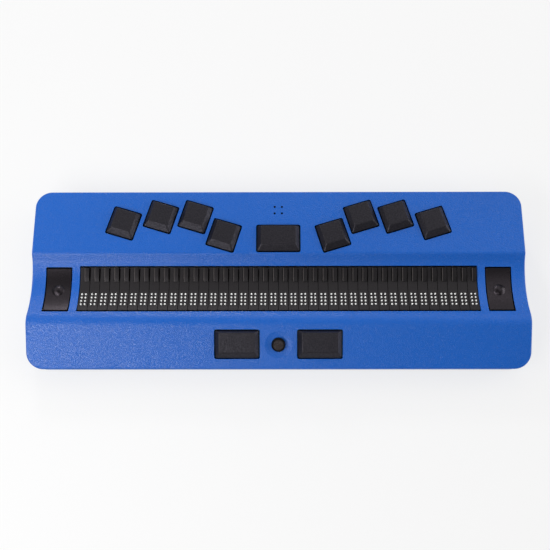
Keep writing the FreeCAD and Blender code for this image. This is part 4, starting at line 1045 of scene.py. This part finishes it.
    def paint_shade(self, shell: Piece) -> None:
        """Paint shade on the skin's inner side and the walls of its openings: they get the black
        finish in place of the shadow in the gaps.

        Args:
            shell: The settled shell, in metres.
        """
        shell.data.materials.append(self.finishes.inner)
        reach = (self.width / 2 - self.dark_margin, self.depth / 2 - self.dark_margin)
        turn = (self.width / 2 - self.corner, self.depth / 2 - self.corner)

        def inner(face: bmesh.types.BMFace) -> bool:
            """Whether a face looks down, or stands under the skin inside the outline.

            Args:
                face: The face to test.

            Returns:
                True where it does.
            """
            middle = face.calc_center_median() / MM
            x, y = abs(middle.x), abs(middle.y)
            if middle.z < self.base + self.dark_foot or x > reach[0] or y > reach[1]:
                return False
            if x > turn[0] and y > turn[1]:
                return False
            if face.normal.z < -PLUMB:
                return True
            return abs(face.normal.z) < TOP and self.skin(middle.y) - middle.z > self.dark_sink

        # Painted shade: the faces that pass take the black finish
        if pick(shell, Kind.FACE, inner):
            bpy.context.object.active_material_index = 1
            bpy.ops.object.material_slot_assign()
        release()

    def dish(self, shell: Piece) -> None:
        """Sink the round dish and the hole for the joystick.

        The ball is turned a little, so that none of its edges falls on an edge of the hole.

        Args:
            shell: The shell, in millimetres.
        """
        ball = (self.dish_radius**2 + self.dish_depth**2) / (2 * self.dish_depth)
        release()
        bpy.ops.mesh.primitive_uv_sphere_add(
            segments=90,
            ring_count=160,
            radius=ball,
            location=(0, 0, ball - self.dish_depth),
            rotation=(0, 0, self.dish_turn),
        )
        spot = self.on_palm(0, JOYSTICK_Y)
        combine(shell, place(freeze("bowl"), *spot))
        combine(shell, place(drum("hole", self.hole_radius, *self.hole_cut), *spot))

    def sound_holes(self, shell: Piece) -> None:
        """Drill the four small holes at the rear of the deck.

        Args:
            shell: The shell, in millimetres.
        """
        for spot in self.sound_places:
            drill = drum("drill", self.sound_radius, *self.sound_cut, sides=20)
            combine(shell, place(drill, (*spot, self.deck)))


# Keys: the openings' width and depth, and where their middles are
DOT_KEY = (19.3, 19.6)
WIDE_KEY = (28.8, 18.8)
KEY_TURN = 17.2
DOT_PLACES = {
    ("one", "four"): (35.5, 27.8),
    ("two", "five"): (54.2, 40.5),
    ("three", "six"): (76.8, 40.6),
    ("seven", "eight"): (101.1, 36.2),
}
SPACE_Y = 25.7
FRONT_KEY_PLACE = (26.2, -43.4)


@dataclass(frozen=True)
class KeySpot:
    """Place of one key."""

    name: str
    width: float
    depth: float
    origin: Point
    turn: Point


def key_spots(housing: Housing) -> list[KeySpot]:
    """Places of all the keys, named after their nodes.

    Args:
        housing: The housing that they stand in.

    Returns:
        The dot keys in pairs, the space key and the two front keys.
    """
    spots = []
    for names, (x, y) in DOT_PLACES.items():
        for name, side in zip(names, (-1, 1)):
            origin = (side * x, y, housing.deck)
            spots.append(KeySpot(f"key_{name}", *DOT_KEY, origin, (0, 0, side * KEY_TURN)))
    spots.append(KeySpot("space_key", *WIDE_KEY, (0, SPACE_Y, housing.deck), (0, 0, 0)))
    x, y = FRONT_KEY_PLACE
    for name, side in (("left", -1), ("right", 1)):
        spots.append(KeySpot(f"front_key_{name}", *WIDE_KEY, *housing.on_palm(side * x, y)))
    return spots


@dataclass
class KeyCaps:
    """Caps of the dot keys, the space key and the two front keys."""

    finishes: Finishes
    housing: Housing
    # Gap to the opening, reach under and over the deck, and how far the facets come in
    gap: float = 0.7
    skirt: float = 2.4
    lip: float = 0.3
    rise: float = 3.0
    side: float = 2.5
    front: float = 3.7
    rear: float = 0.9
    # Wall round the pocket, height of its roof, and the roundings
    shell: float = 1.6
    roof: float = 1.2
    corner: float = 1.0
    top_round: float = 0.4
    lip_round: float = 0.25
    pocket_corner: float = 0.8
    # Square stem under the roof
    stem: float = 4.0
    stem_foot: float = -7.8
    stem_seat: float = 0.4
    stem_round: float = 0.3

    def cap(self, spot: KeySpot) -> Piece:
        """Model one cap at the zero point.

        Args:
            spot: The key's place and the size of its opening.

        Returns:
            The cap.
        """
        wide = spot.width - 2 * self.gap
        deep = spot.depth - 2 * self.gap
        name = spot.name.replace("key", "cap")
        piece = prism(name, wide, deep, -self.skirt, self.lip, self.corner)
        pick(piece, Kind.FACE, lambda face: face.normal.z > LEVEL)
        shift = (self.front - self.rear) / 2
        bpy.ops.mesh.extrude_region_move(
            TRANSFORM_OT_translate={"value": (0, shift, self.rise - self.lip)}
        )
        shrink = ((wide - 2 * self.side) / wide, (deep - self.front - self.rear) / deep, 1)
        bpy.ops.transform.resize(value=shrink, center_override=(0, shift, self.rise))
        round_edges(piece, at_height(self.rise), self.top_round, steps=3)
        round_edges(piece, at_height(self.lip), self.lip_round, steps=2)
        hollow = (wide - 2 * self.shell, deep - 2 * self.shell)
        low = -self.skirt - CLEAR
        combine(piece, prism("pocket", *hollow, low, self.roof, self.pocket_corner))
        half = self.stem / 2
        top = self.roof + self.stem_seat
        post = block("stem", (-half, -half, self.stem_foot), (half, half, top))
        round_edges(post, upright, self.stem_round, steps=2)
        combine(piece, post, Joining.FUSE)
        return piece

    def build(self) -> None:
        """Model and dress every cap."""
        for spot in key_spots(self.housing):
            piece = self.cap(spot)
            place(piece, spot.origin, spot.turn)
            settle(piece, self.finishes.key)
            fit(piece, spot.name, [spot.name])


# Reading line
@dataclass
class ReadingLine:
    """Forty cells with their pins and routing keys."""

    finishes: Finishes
    # Cells, and the places in Y where their tops begin, bend and end, from rear to front
    count: int = CELLS
    pitch: float = CELL_PITCH
    width: float = 6.28
    relief: float = 0.06
    low: float = 8.0
    first: float = FIRST_CELL
    valley: Valley = Valley()
    rear: float = 7.4
    land: float = -2.2
    dots_rear: float = -9.05
    dots_front: float = -18.85
    front: float = -21.7
    bend: float = 1.8
    side_round: float = 0.12
    # Holes and pins, on the slope between the last two bends
    dot_pitch: float = 2.45
    dot_sides: int = 16
    dot_gap: float = 0.12
    dot_cut: tuple = (-2.6, 2)
    pin_radius: float = 0.58
    pin_rise: float = 0.7
    pin_sink: float = 4.7
    pin_round: float = 0.36
    pin_smooth: float = 50.0
    # Routing keys, on the slope between the rear end and the first bend
    bar_x: float = 1.25
    bar_width: float = 3.1
    bar_length: float = 8.8
    bar_rise: float = 1.4
    bar_sink: float = 2.6
    bar_ramp: float = 3.2
    bar_drop: float = 1.0
    bar_gap: float = 0.02
    bar_side_gap: float = 0.12
    bar_round: float = 0.25
    # Notch that a key stands in, with a shallow groove beside the key
    groove: float = 0.35
    groove_round: float = 0.5
    notch_end: Point = (4, 9, 4)
    notch_depth: float = 3.3

    def pin_spots(self) -> dict[str, tuple[float, float]]:
        """Work out where the dots of a cell stand.

        Returns:
            Dot name to its place across and along the slope.
        """
        half = self.dot_pitch / 2
        rows = {
            3: ("one", "four"),
            1: ("two", "five"),
            -1: ("three", "six"),
            -3: ("seven", "eight"),
        }
        return {
            name: (side * half, up * half)
            for up, names in rows.items()
            for side, name in zip((-1, 1), names)
        }

    def cells(self) -> None:
        """Model one cell and repeat it."""
        stations = [self.rear, self.land, self.dots_rear, self.dots_front, self.front]
        tops = [(y, self.valley.height(y)) for y in stations]
        points = [(self.rear, self.low), *tops, (self.front, self.low)]
        half = self.width / 2 - self.relief
        cell = profile_block("cell_tops", half, points)

        def bend(edge: bmesh.types.BMEdge) -> bool:
            """Whether an edge runs across the top where its slope changes.

            Args:
                edge: The edge to test.

            Returns:
                True where it does.
            """
            if not crosswise(edge):
                return False
            return any(abs(edge.verts[0].co.y - y) < NEAR for y in stations[1:-1])

        def side(edge: bmesh.types.BMEdge) -> bool:
            """Whether an edge runs along a side of the top.

            Args:
                edge: The edge to test.

            Returns:
                True where it does.
            """
            if upright(edge) or abs(edge.verts[0].co.x - edge.verts[1].co.x) > NEAR:
                return False
            ends = [corner.co for corner in edge.verts]
            return all(abs(abs(co.x) - half) < NEAR and co.z > self.low + CLEAR for co in ends)

        round_edges(cell, bend, self.bend, steps=4)
        round_edges(cell, side, self.side_round, steps=2)
        combine(cell, self.notch())
        drills = []
        for across, up in self.pin_spots().values():
            radius = self.pin_radius + self.dot_gap
            drill = drum("drill", radius, *self.dot_cut, sides=self.dot_sides)
            drills.append(place(drill, (across, up, 0)))
        combine(cell, self.on_dots(join(drills, "drills")))
        place(cell, (self.first, 0, 0))
        row(cell, self.count, self.pitch)
        settle(cell, self.finishes.cell)
        fit(cell, "housing", ["cell_modules"])

    def on_dots(self, piece: Piece) -> Piece:
        """Set a piece on the slope of the dots."""
        middle, slope = self.valley.chord(self.dots_rear, self.dots_front)
        return place(piece, middle, (slope, 0, 0))

    def on_bar(self, piece: Piece) -> Piece:
        """Set a piece on the slope of the routing key."""
        middle, slope = self.valley.chord(self.rear, self.land)
        return place(piece, (self.bar_x, *middle[1:]), (slope, 0, 0))

    def notch(self) -> Piece:
        """Solid that opens a cell for its routing key, with a round front corner.

        Returns:
            The solid to cut away.
        """
        left = -self.bar_width / 2
        front = -self.bar_length / 2 - self.bar_gap
        low = (left - self.bar_side_gap, front, -self.notch_depth)
        tool = block("notch", low, self.notch_end)
        low = (left - self.groove, front, -self.groove)
        side = block("groove", low, (0, *self.notch_end[1:]))

        def front_corner(edge: bmesh.types.BMEdge) -> bool:
            """Whether an edge is the upright one at the front on the left."""
            return upright(edge) and edge.verts[0].co.x < 0 and edge.verts[0].co.y < 0

        round_edges(side, front_corner, self.groove_round, steps=4)
        combine(tool, side, Joining.FUSE)
        return self.on_bar(tool)

    def pins(self) -> None:
        """Model the pins of each dot."""
        for name, (across, up) in self.pin_spots().items():
            ends = (-self.pin_sink, self.pin_rise)
            pin = drum(f"pins_{name}", self.pin_radius, *ends, sides=self.dot_sides)
            round_edges(pin, at_height(self.pin_rise), self.pin_round, steps=4)
            place(pin, (across, up, 0))
            place(self.on_dots(pin), (self.first, 0, 0))
            row(pin, self.count, self.pitch)
            settle(pin, self.finishes.pin, self.pin_smooth)
            fit(pin, f"braille_pins_{name}", [f"braille_pins_{name}"])

    def routing_keys(self) -> None:
        """Model the routing keys in their eight groups of five."""
        share = self.count // ROUTING_GROUPS
        half = (self.bar_width / 2, self.bar_length / 2)

        def long_edge(edge: bmesh.types.BMEdge) -> bool:
            """Whether an edge runs along one side of the top.

            Args:
                edge: The edge to test.

            Returns:
                True where it does.
            """
            here, there = (corner.co for corner in edge.verts)
            if upright(edge) or min(here.z, there.z) <= 0:
                return False
            return min(abs(here.x), abs(there.x)) > CLEAR and here.x * there.x > 0

        for group in range(ROUTING_GROUPS):
            name = f"routing_bars_{group + 1}"
            low = (-half[0], -half[1], -self.bar_sink)
            bar = block(name, low, (*half, self.bar_rise))
            pick(bar, Kind.FACE, lambda face: True)
            bpy.ops.mesh.bisect(plane_co=(0, self.bar_ramp - half[1], 0), plane_no=(0, 1, 0))
            pick(
                bar,
                Kind.CORNER,
                lambda corner: corner.co.y < NEAR - half[1] and corner.co.z > 0,
            )
            bpy.ops.transform.translate(value=(0, 0, -self.bar_drop))
            release()
            round_edges(bar, long_edge, self.bar_round, steps=2)
            place(self.on_bar(bar), (self.first + group * share * self.pitch, 0, 0))
            row(bar, share, self.pitch)
            settle(bar, self.finishes.routing)
            fit(bar, f"routing_keys_{group + 1}", [f"routing_keys_{group + 1}"])

    def build(self) -> None:
        """Model and dress the whole line."""
        self.cells()
        self.pins()
        self.routing_keys()


# Rocker pads and joystick
@dataclass
class RockerPads:
    """Pad with a round spot at each end of the line."""

    finishes: Finishes
    housing: Housing
    valley: Valley = Valley()
    # Curved plate
    half: float = 7.9
    thick: float = 1.9
    rear: float = 6.8
    front: float = -21.6
    steps: int = 20
    corner: float = 0.7
    rim: float = 0.3
    # Round spot
    spot_radius: float = 4.0
    spot_rise: float = 1.6
    spot_seat: float = 0.3
    spot_y: float = -7.6
    # Axle under the plate, and the rib that joins them
    axle: Point = (0, -8.1, 12.6)
    axle_radius: float = 1.5
    axle_half: float = 5.5
    rib_half: float = 0.8
    rib_top: float = 18.3

    def plate(self, name: str) -> Piece:
        """Model the curved plate.

        Args:
            name: The piece's name.

        Returns:
            The plate at x = 0.
        """
        run = (self.front - self.rear) / self.steps
        places = [self.rear + run * i for i in range(self.steps + 1)]
        tops = [(y, self.valley.height(y)) for y in places]
        under = [(y, z - self.thick) for y, z in reversed(tops)]
        piece = profile_block(name, self.half, [*tops, *under])
        round_edges(
            piece, lambda edge: upright(edge) and edge.calc_length() > CLEAR, self.corner, steps=4
        )

        def rim(edge: bmesh.types.BMEdge) -> bool:
            """Whether an edge runs round the top of the plate.

            Args:
                edge: The edge to test.

            Returns:
                True where it does.
            """
            if len(edge.link_faces) != 2:
                return False
            rises = sorted(face.normal.z for face in edge.link_faces)
            return abs(rises[0]) < PLUMB and rises[1] > TOP

        round_edges(piece, rim, self.rim, steps=3)
        return piece

    def dome(self) -> Piece:
        """Model the round spot as the cap of a ball.

        Returns:
            The cap, set on the plate.
        """
        ball = (self.spot_radius**2 + self.spot_rise**2) / (2 * self.spot_rise)
        release()
        middle = (0, 0, self.spot_rise - ball)
        bpy.ops.mesh.primitive_uv_sphere_add(
            segments=48, ring_count=48, radius=ball, location=middle
        )
        piece = freeze("spot")
        pick(piece, Kind.FACE, lambda face: True)
        seat = (0, 0, -self.spot_seat)
        bpy.ops.mesh.bisect(plane_co=seat, plane_no=(0, 0, 1), clear_inner=True, use_fill=True)
        release()
        middle, slope = self.valley.chord(self.spot_y + CLEAR, self.spot_y - CLEAR)
        return place(piece, middle, (slope, 0, 0))

    def build(self) -> None:
        """Model and dress both pads."""
        for side, sign in (("left", -1), ("right", 1)):
            piece = self.plate(f"rocker_plate_{side}")
            combine(piece, self.dome(), Joining.FUSE)
            long = self.axle_half
            rear, front = self.axle[1] + self.rib_half, self.axle[1] - self.rib_half
            rib = block("rib", (-long, front, self.axle[2]), (long, rear, self.rib_top))
            combine(piece, rib, Joining.FUSE)
            bar = drum("bar", self.axle_radius, -long, long, sides=32)
            combine(piece, place(bar, self.axle, (0, 90, 0)), Joining.FUSE)
            place(piece, (sign * self.housing.pad_x, 0, 0))
            settle(piece, self.finishes.pad)
            fit(piece, f"rocker_pad_{side}", [f"rocker_pad_{side}"])


@dataclass
class Joystick:
    """Round knob on a short neck, with a coarse crown let into its top."""

    finishes: Finishes
    housing: Housing
    # Knob: a low straight wall with a rounded rim, then a flank that slopes up to the crown
    radius: float = 4.45
    low: float = 1.15
    shoulder: float = 1.45
    rim: float = 0.2
    # Crown, let into the flank's upper end
    crown: float = 3.6
    crown_step: float = 0.2
    crown_sink: float = 0.15
    crown_round: float = 0.5
    top: float = 2.4
    # Neck
    neck: float = 2.4
    neck_foot: float = -3.0
    neck_seat: float = 0.3

    def build(self) -> None:
        """Model and dress the knob and its crown."""
        spot = self.housing.on_palm(0, JOYSTICK_Y)
        knob = drum("joystick_cap", self.radius, self.low, self.shoulder, sides=64)
        pick(knob, Kind.FACE, lambda face: face.normal.z > LEVEL)
        bpy.ops.mesh.inset(thickness=self.radius - self.crown)
        rise = self.top - self.crown_sink - self.shoulder
        bpy.ops.transform.translate(value=(0, 0, rise))
        round_edges(knob, at_height(self.shoulder), self.rim, steps=3)
        radius = self.crown - self.crown_step
        crown = drum("joystick_crown", radius, self.shoulder, self.top, sides=64)
        round_edges(crown, at_height(self.top), self.crown_round, steps=4)
        place(crown, *spot)
        settle(crown, self.finishes.crown)
        fit(crown, "joystick_knob")
        neck = drum("neck", self.neck, self.neck_foot, self.low + self.neck_seat, sides=32)
        combine(knob, neck, Joining.FUSE)
        place(knob, *spot)
        settle(knob, self.finishes.flank)
        fit(knob, "joystick_knob", ["joystick_knob"])


# Tray and rear
@dataclass
class Tray:
    """Shallow tray with sunk feet."""

    finishes: Finishes
    housing: Housing
    # Plate, and the lip on it that stands inside the housing's wall
    low: float = 1.2
    floor: float = 3.2
    lip: float = 6.2
    lip_gap: float = 0.15
    lip_wall: float = 1.4
    core_top: float = 9.0
    under_round: float = 0.8
    seam: float = 0.25
    # Feet and their recesses
    recess: float = 0.7
    recess_corner: float = 2.0
    foot: Point = (132.0, 46.0)
    foot_size: Point = (24.0, 8.0)
    foot_gap: float = 0.05
    foot_top: float = 1.9
    foot_corner: float = 1.9
    foot_round: float = 0.4
    # Screws and their bores
    screw_places: tuple = ((-100, 47), (0, 47), (100, 47), (-100, -45), (0, -45), (100, -45))
    screw_bore: float = 2.6
    screw_radius: float = 2.3
    screw_sink: float = 0.3
    screw_top: float = 0.9
    screw_round: float = 0.3
    slot_half: Point = (1.3, 0.25)
    slot_top: float = 0.7

    def plate(self, name: str, inset: float, low: float, high: float) -> Piece:
        """Plate with the outline of the housing's foot.

        Args:
            name: The piece's name.
            inset: How far the outline is drawn in.
            low: Height of its lower face.
            high: Height of its upper face.

        Returns:
            The new piece.
        """
        shell = self.housing
        run = shell.lean_run(shell.base)
        sides = (shell.width - 2 * inset, shell.depth - run - 2 * inset)
        return place(prism(name, *sides, low, high, shell.corner - inset), (0, run / 2, 0))

    def feet_places(self) -> list[Point]:
        """Middle of each foot."""
        x, y = self.foot
        return [(side * x, end * y, 0) for side in (-1, 1) for end in (-1, 1)]

    def build(self) -> None:
        """Model and dress the tray, its screws and its feet."""
        tray = self.plate("tray", 0.0, self.low, self.housing.base)
        round_edges(tray, at_height(self.low), self.under_round, steps=3)
        round_edges(tray, at_height(self.housing.base), self.seam, steps=2)
        inset = self.housing.wall + self.lip_gap
        combine(tray, self.plate("lip", inset, self.floor, self.lip), Joining.FUSE)
        combine(tray, self.plate("core", inset + self.lip_wall, self.floor, self.core_top))
        for spot in self.feet_places():
            ends = (self.low - CLEAR, self.low + self.recess)
            combine(tray, place(prism("recess", *self.foot_size, *ends, self.recess_corner), spot))
        for spot in self.screw_places:
            ends = (self.low - CLEAR, self.low + self.screw_top)
            combine(tray, place(drum("bore", self.screw_bore, *ends, sides=32), (*spot, 0)))
        settle(tray, self.finishes.housing)
        fit(tray, "housing", ["bottom_shell"])
        self.screws()
        self.feet()

    def feet(self) -> None:
        """Model and dress the four feet in their recesses."""
        feet = []
        for spot in self.feet_places():
            sides = [side - 2 * self.foot_gap for side in self.foot_size]
            foot = prism("foot", *sides, 0, self.foot_top, self.foot_corner)
            round_edges(foot, at_height(0.0), self.foot_round, steps=3)
            feet.append(place(foot, spot))
        joined = join(feet, "feet")
        settle(joined, self.finishes.rubber)
        fit(joined, "housing", ["rubber_feet"])

    def screws(self) -> None:
        """Model the sunk cross-head screws under the tray."""
        face = self.low + self.screw_sink
        x, y = self.slot_half
        heads = []
        for spot in self.screw_places:
            head = drum("head", self.screw_radius, face, self.low + self.screw_top, sides=32)
            round_edges(head, at_height(face), self.screw_round, steps=3)
            for turn in (0, 90):
                bar = block("slot", (-x, -y, self.low - CLEAR), (x, y, self.low + self.slot_top))
                combine(head, place(bar, turn=(0, 0, turn)))
            heads.append(place(head, (*spot, 0)))
        joined = join(heads, "screws")
        settle(joined, self.finishes.steel)
        fit(joined, "housing")


class Inside:
    """Nodes that stay as they are and only get their finish."""

    def __init__(self, finishes: Finishes, nodes: dict) -> None:
        """Keep the nodes and choose a finish for each.

        Args:
            finishes: The finishes to choose from.
            nodes: Node name to its object, as the frame gives them.
        """
        self.nodes = nodes
        self.table = {
            "cell_chassis": finishes.aluminium,
            "cell_backplane": finishes.board,
            "keyboard_board": finishes.board,
            "front_board": finishes.board,
            "main_board": finishes.board,
            "key_switches": finishes.switch,
            "front_key_switches": finishes.switch,
            "joystick_housing": finishes.switch,
            "joystick_yoke": finishes.switch,
            "joystick_stick": finishes.steel,
            "pad_guide_left": finishes.switch,
            "pad_guide_right": finishes.switch,
            "pad_carrier_left": finishes.switch,
            "pad_carrier_right": finishes.switch,
            "battery_pack": finishes.wrap,
            "sounder": finishes.switch,
            "ribbon_cable": finishes.amber,
            "charging_socket": finishes.steel,
            "power_button": finishes.key,
            "power_switch": finishes.switch,
        }

    def build(self) -> None:
        """Dress the nodes."""
        for name, material in self.table.items():
            mesh = self.nodes[name].data
            mesh.materials.clear()
            mesh.materials.append(material)
            LOG.info("%s stays, in %s", name, material.name)


# Studio
@dataclass(frozen=True)
class SoftBox:
    """A rectangular lamp that hangs round the display and faces its middle.

    Its bearing is counted from +X and its height from the floor, both in degrees. Its distance
    and its size are in metres.
    """

    name: str
    bearing: float
    height: float
    distance: float
    size: Point
    radiance: float

    def spot(self) -> Vector:
        """Work out its place.

        Returns:
            The place in metres.
        """
        side, up = math.radians(self.bearing), math.radians(self.height)
        level = self.distance * math.cos(up)
        high = self.distance * math.sin(up)
        return Vector((level * math.cos(side), level * math.sin(side), high))

    def power(self) -> float:
        """Power in watts that gives its radiance."""
        return self.radiance * math.pi * self.size[0] * self.size[1]


@dataclass
class Studio:
    """Pale floor, soft lamps and the camera of the photograph.

    The camera's place is in millimetres and its turns are in degrees.
    """

    camera_place: Point = (0.57, -142.91, 524.03)
    camera_turn: Point = (16.077, 0.307, 0.013)
    lens: float = 53.018
    sensor: float = 36.0
    # Share of plain white in the floor as the camera sees it, and strength of the room's light
    lift: float = 0.72
    room: float = 0.169
    floor_size: float = 6.0
    paper: str = "#F2F2F2"
    paper_gloss: float = 0.1
    paper_roughness: float = 0.9
    white: str = "#FBFBFB"
    boxes: tuple = (
        SoftBox("soft_box_left", 214.0, 44.0, 0.65, (0.62, 0.16), 7.3),
        SoftBox("soft_box_right", 40.0, 59.0, 1.3, (0.96, 0.7), 0.85),
        SoftBox("soft_box_front", 264.0, 60.0, 1.15, (0.27, 0.34), 3.24),
        SoftBox("soft_box_rear", 105.0, 27.0, 1.3, (0.15, 0.18), 33.0),
        SoftBox("wall_rear", 109.0, 40.0, 0.65, (1.48, 0.6), 0.68),
        SoftBox("wall_right", 1.0, 19.0, 1.28, (1.5, 0.75), 2.6),
    )

    def floor(self) -> None:
        """Lay a wide white floor.

        The camera sees it lifted towards white, but the shadow on it still shows.
        """
        release()
        bpy.ops.mesh.primitive_plane_add(size=self.floor_size)
        floor = freeze("floor")
        made = bpy.data.materials.new("paper_white")
        made.use_nodes = True
        tree = made.node_tree
        paper = tree.nodes["Principled BSDF"]
        paper.inputs["Base Color"].default_value = linear(self.paper)
        paper.inputs["Roughness"].default_value = self.paper_roughness
        paper.inputs["Specular IOR Level"].default_value = self.paper_gloss
        path = add(tree, "ShaderNodeLightPath", {})
        seen = add(
            tree,
            "ShaderNodeMath",
            {0: path.outputs["Is Camera Ray"], 1: path.outputs["Is Glossy Ray"]},
            operation="MAXIMUM",
        )
        through = add(
            tree,
            "ShaderNodeMath",
            {0: seen.outputs[0], 1: path.outputs["Is Transmission Ray"]},
            operation="MAXIMUM",
        )
        share = add(
            tree, "ShaderNodeMath", {0: through.outputs[0], 1: self.lift}, operation="MULTIPLY"
        )
        white = add(tree, "ShaderNodeEmission", {"Color": linear(self.white), "Strength": 1.0})
        mixed = add(
            tree,
            "ShaderNodeMixShader",
            {0: share.outputs[0], 1: paper.outputs[0], 2: white.outputs[0]},
        )
        tree.links.new(mixed.outputs[0], tree.nodes["Material Output"].inputs["Surface"])
        floor.data.materials.append(made)

    def lamp(self, box: SoftBox) -> None:
        """Hang one soft box that faces the display.

        Args:
            box: The soft box.
        """
        data = bpy.data.lights.new(box.name, "AREA")
        data.shape = "RECTANGLE"
        data.size, data.size_y = box.size
        data.energy = box.power()
        lamp = bpy.data.objects.new(box.name, data)
        lamp.location = box.spot()
        lamp.rotation_euler = (-box.spot()).to_track_quat("-Z", "Y").to_euler()
        bpy.context.scene.collection.objects.link(lamp)

    def world(self) -> None:
        """Light the room evenly."""
        world = bpy.data.worlds.new("room")
        bpy.context.scene.world = world
        world.use_nodes = True
        room = world.node_tree.nodes["Background"]
        room.inputs["Color"].default_value = linear("#FFFFFF")
        room.inputs["Strength"].default_value = self.room

    def camera(self) -> None:
        """Set the camera where the photograph was taken from."""
        data = bpy.data.cameras.new("camera")
        data.sensor_width = self.sensor
        data.lens = self.lens
        data.clip_start = 0.01
        camera = bpy.data.objects.new("camera", data)
        camera.location = Vector(self.camera_place) * MM
        camera.rotation_euler = [math.radians(angle) for angle in self.camera_turn]
        bpy.context.scene.collection.objects.link(camera)
        bpy.context.scene.camera = camera

    def build(self) -> None:
        """Set up the studio."""
        self.camera()
        self.floor()
        self.world()
        for box in self.boxes:
            self.lamp(box)
        bpy.context.scene.view_settings.view_transform = "Standard"


def main() -> None:
    """Build the display and its studio."""
    logging.basicConfig(level=logging.INFO, format="%(message)s", stream=sys.stdout)
    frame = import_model()
    Studio().build()
    finishes = Finishes()
    housing = Housing(finishes)
    housing.build()
    Tray(finishes, housing).build()
    KeyCaps(finishes, housing).build()
    ReadingLine(finishes).build()
    RockerPads(finishes, housing).build()
    Joystick(finishes, housing).build()
    Inside(finishes, frame["nodes"]).build()


if __name__ == "__main__":
    main()
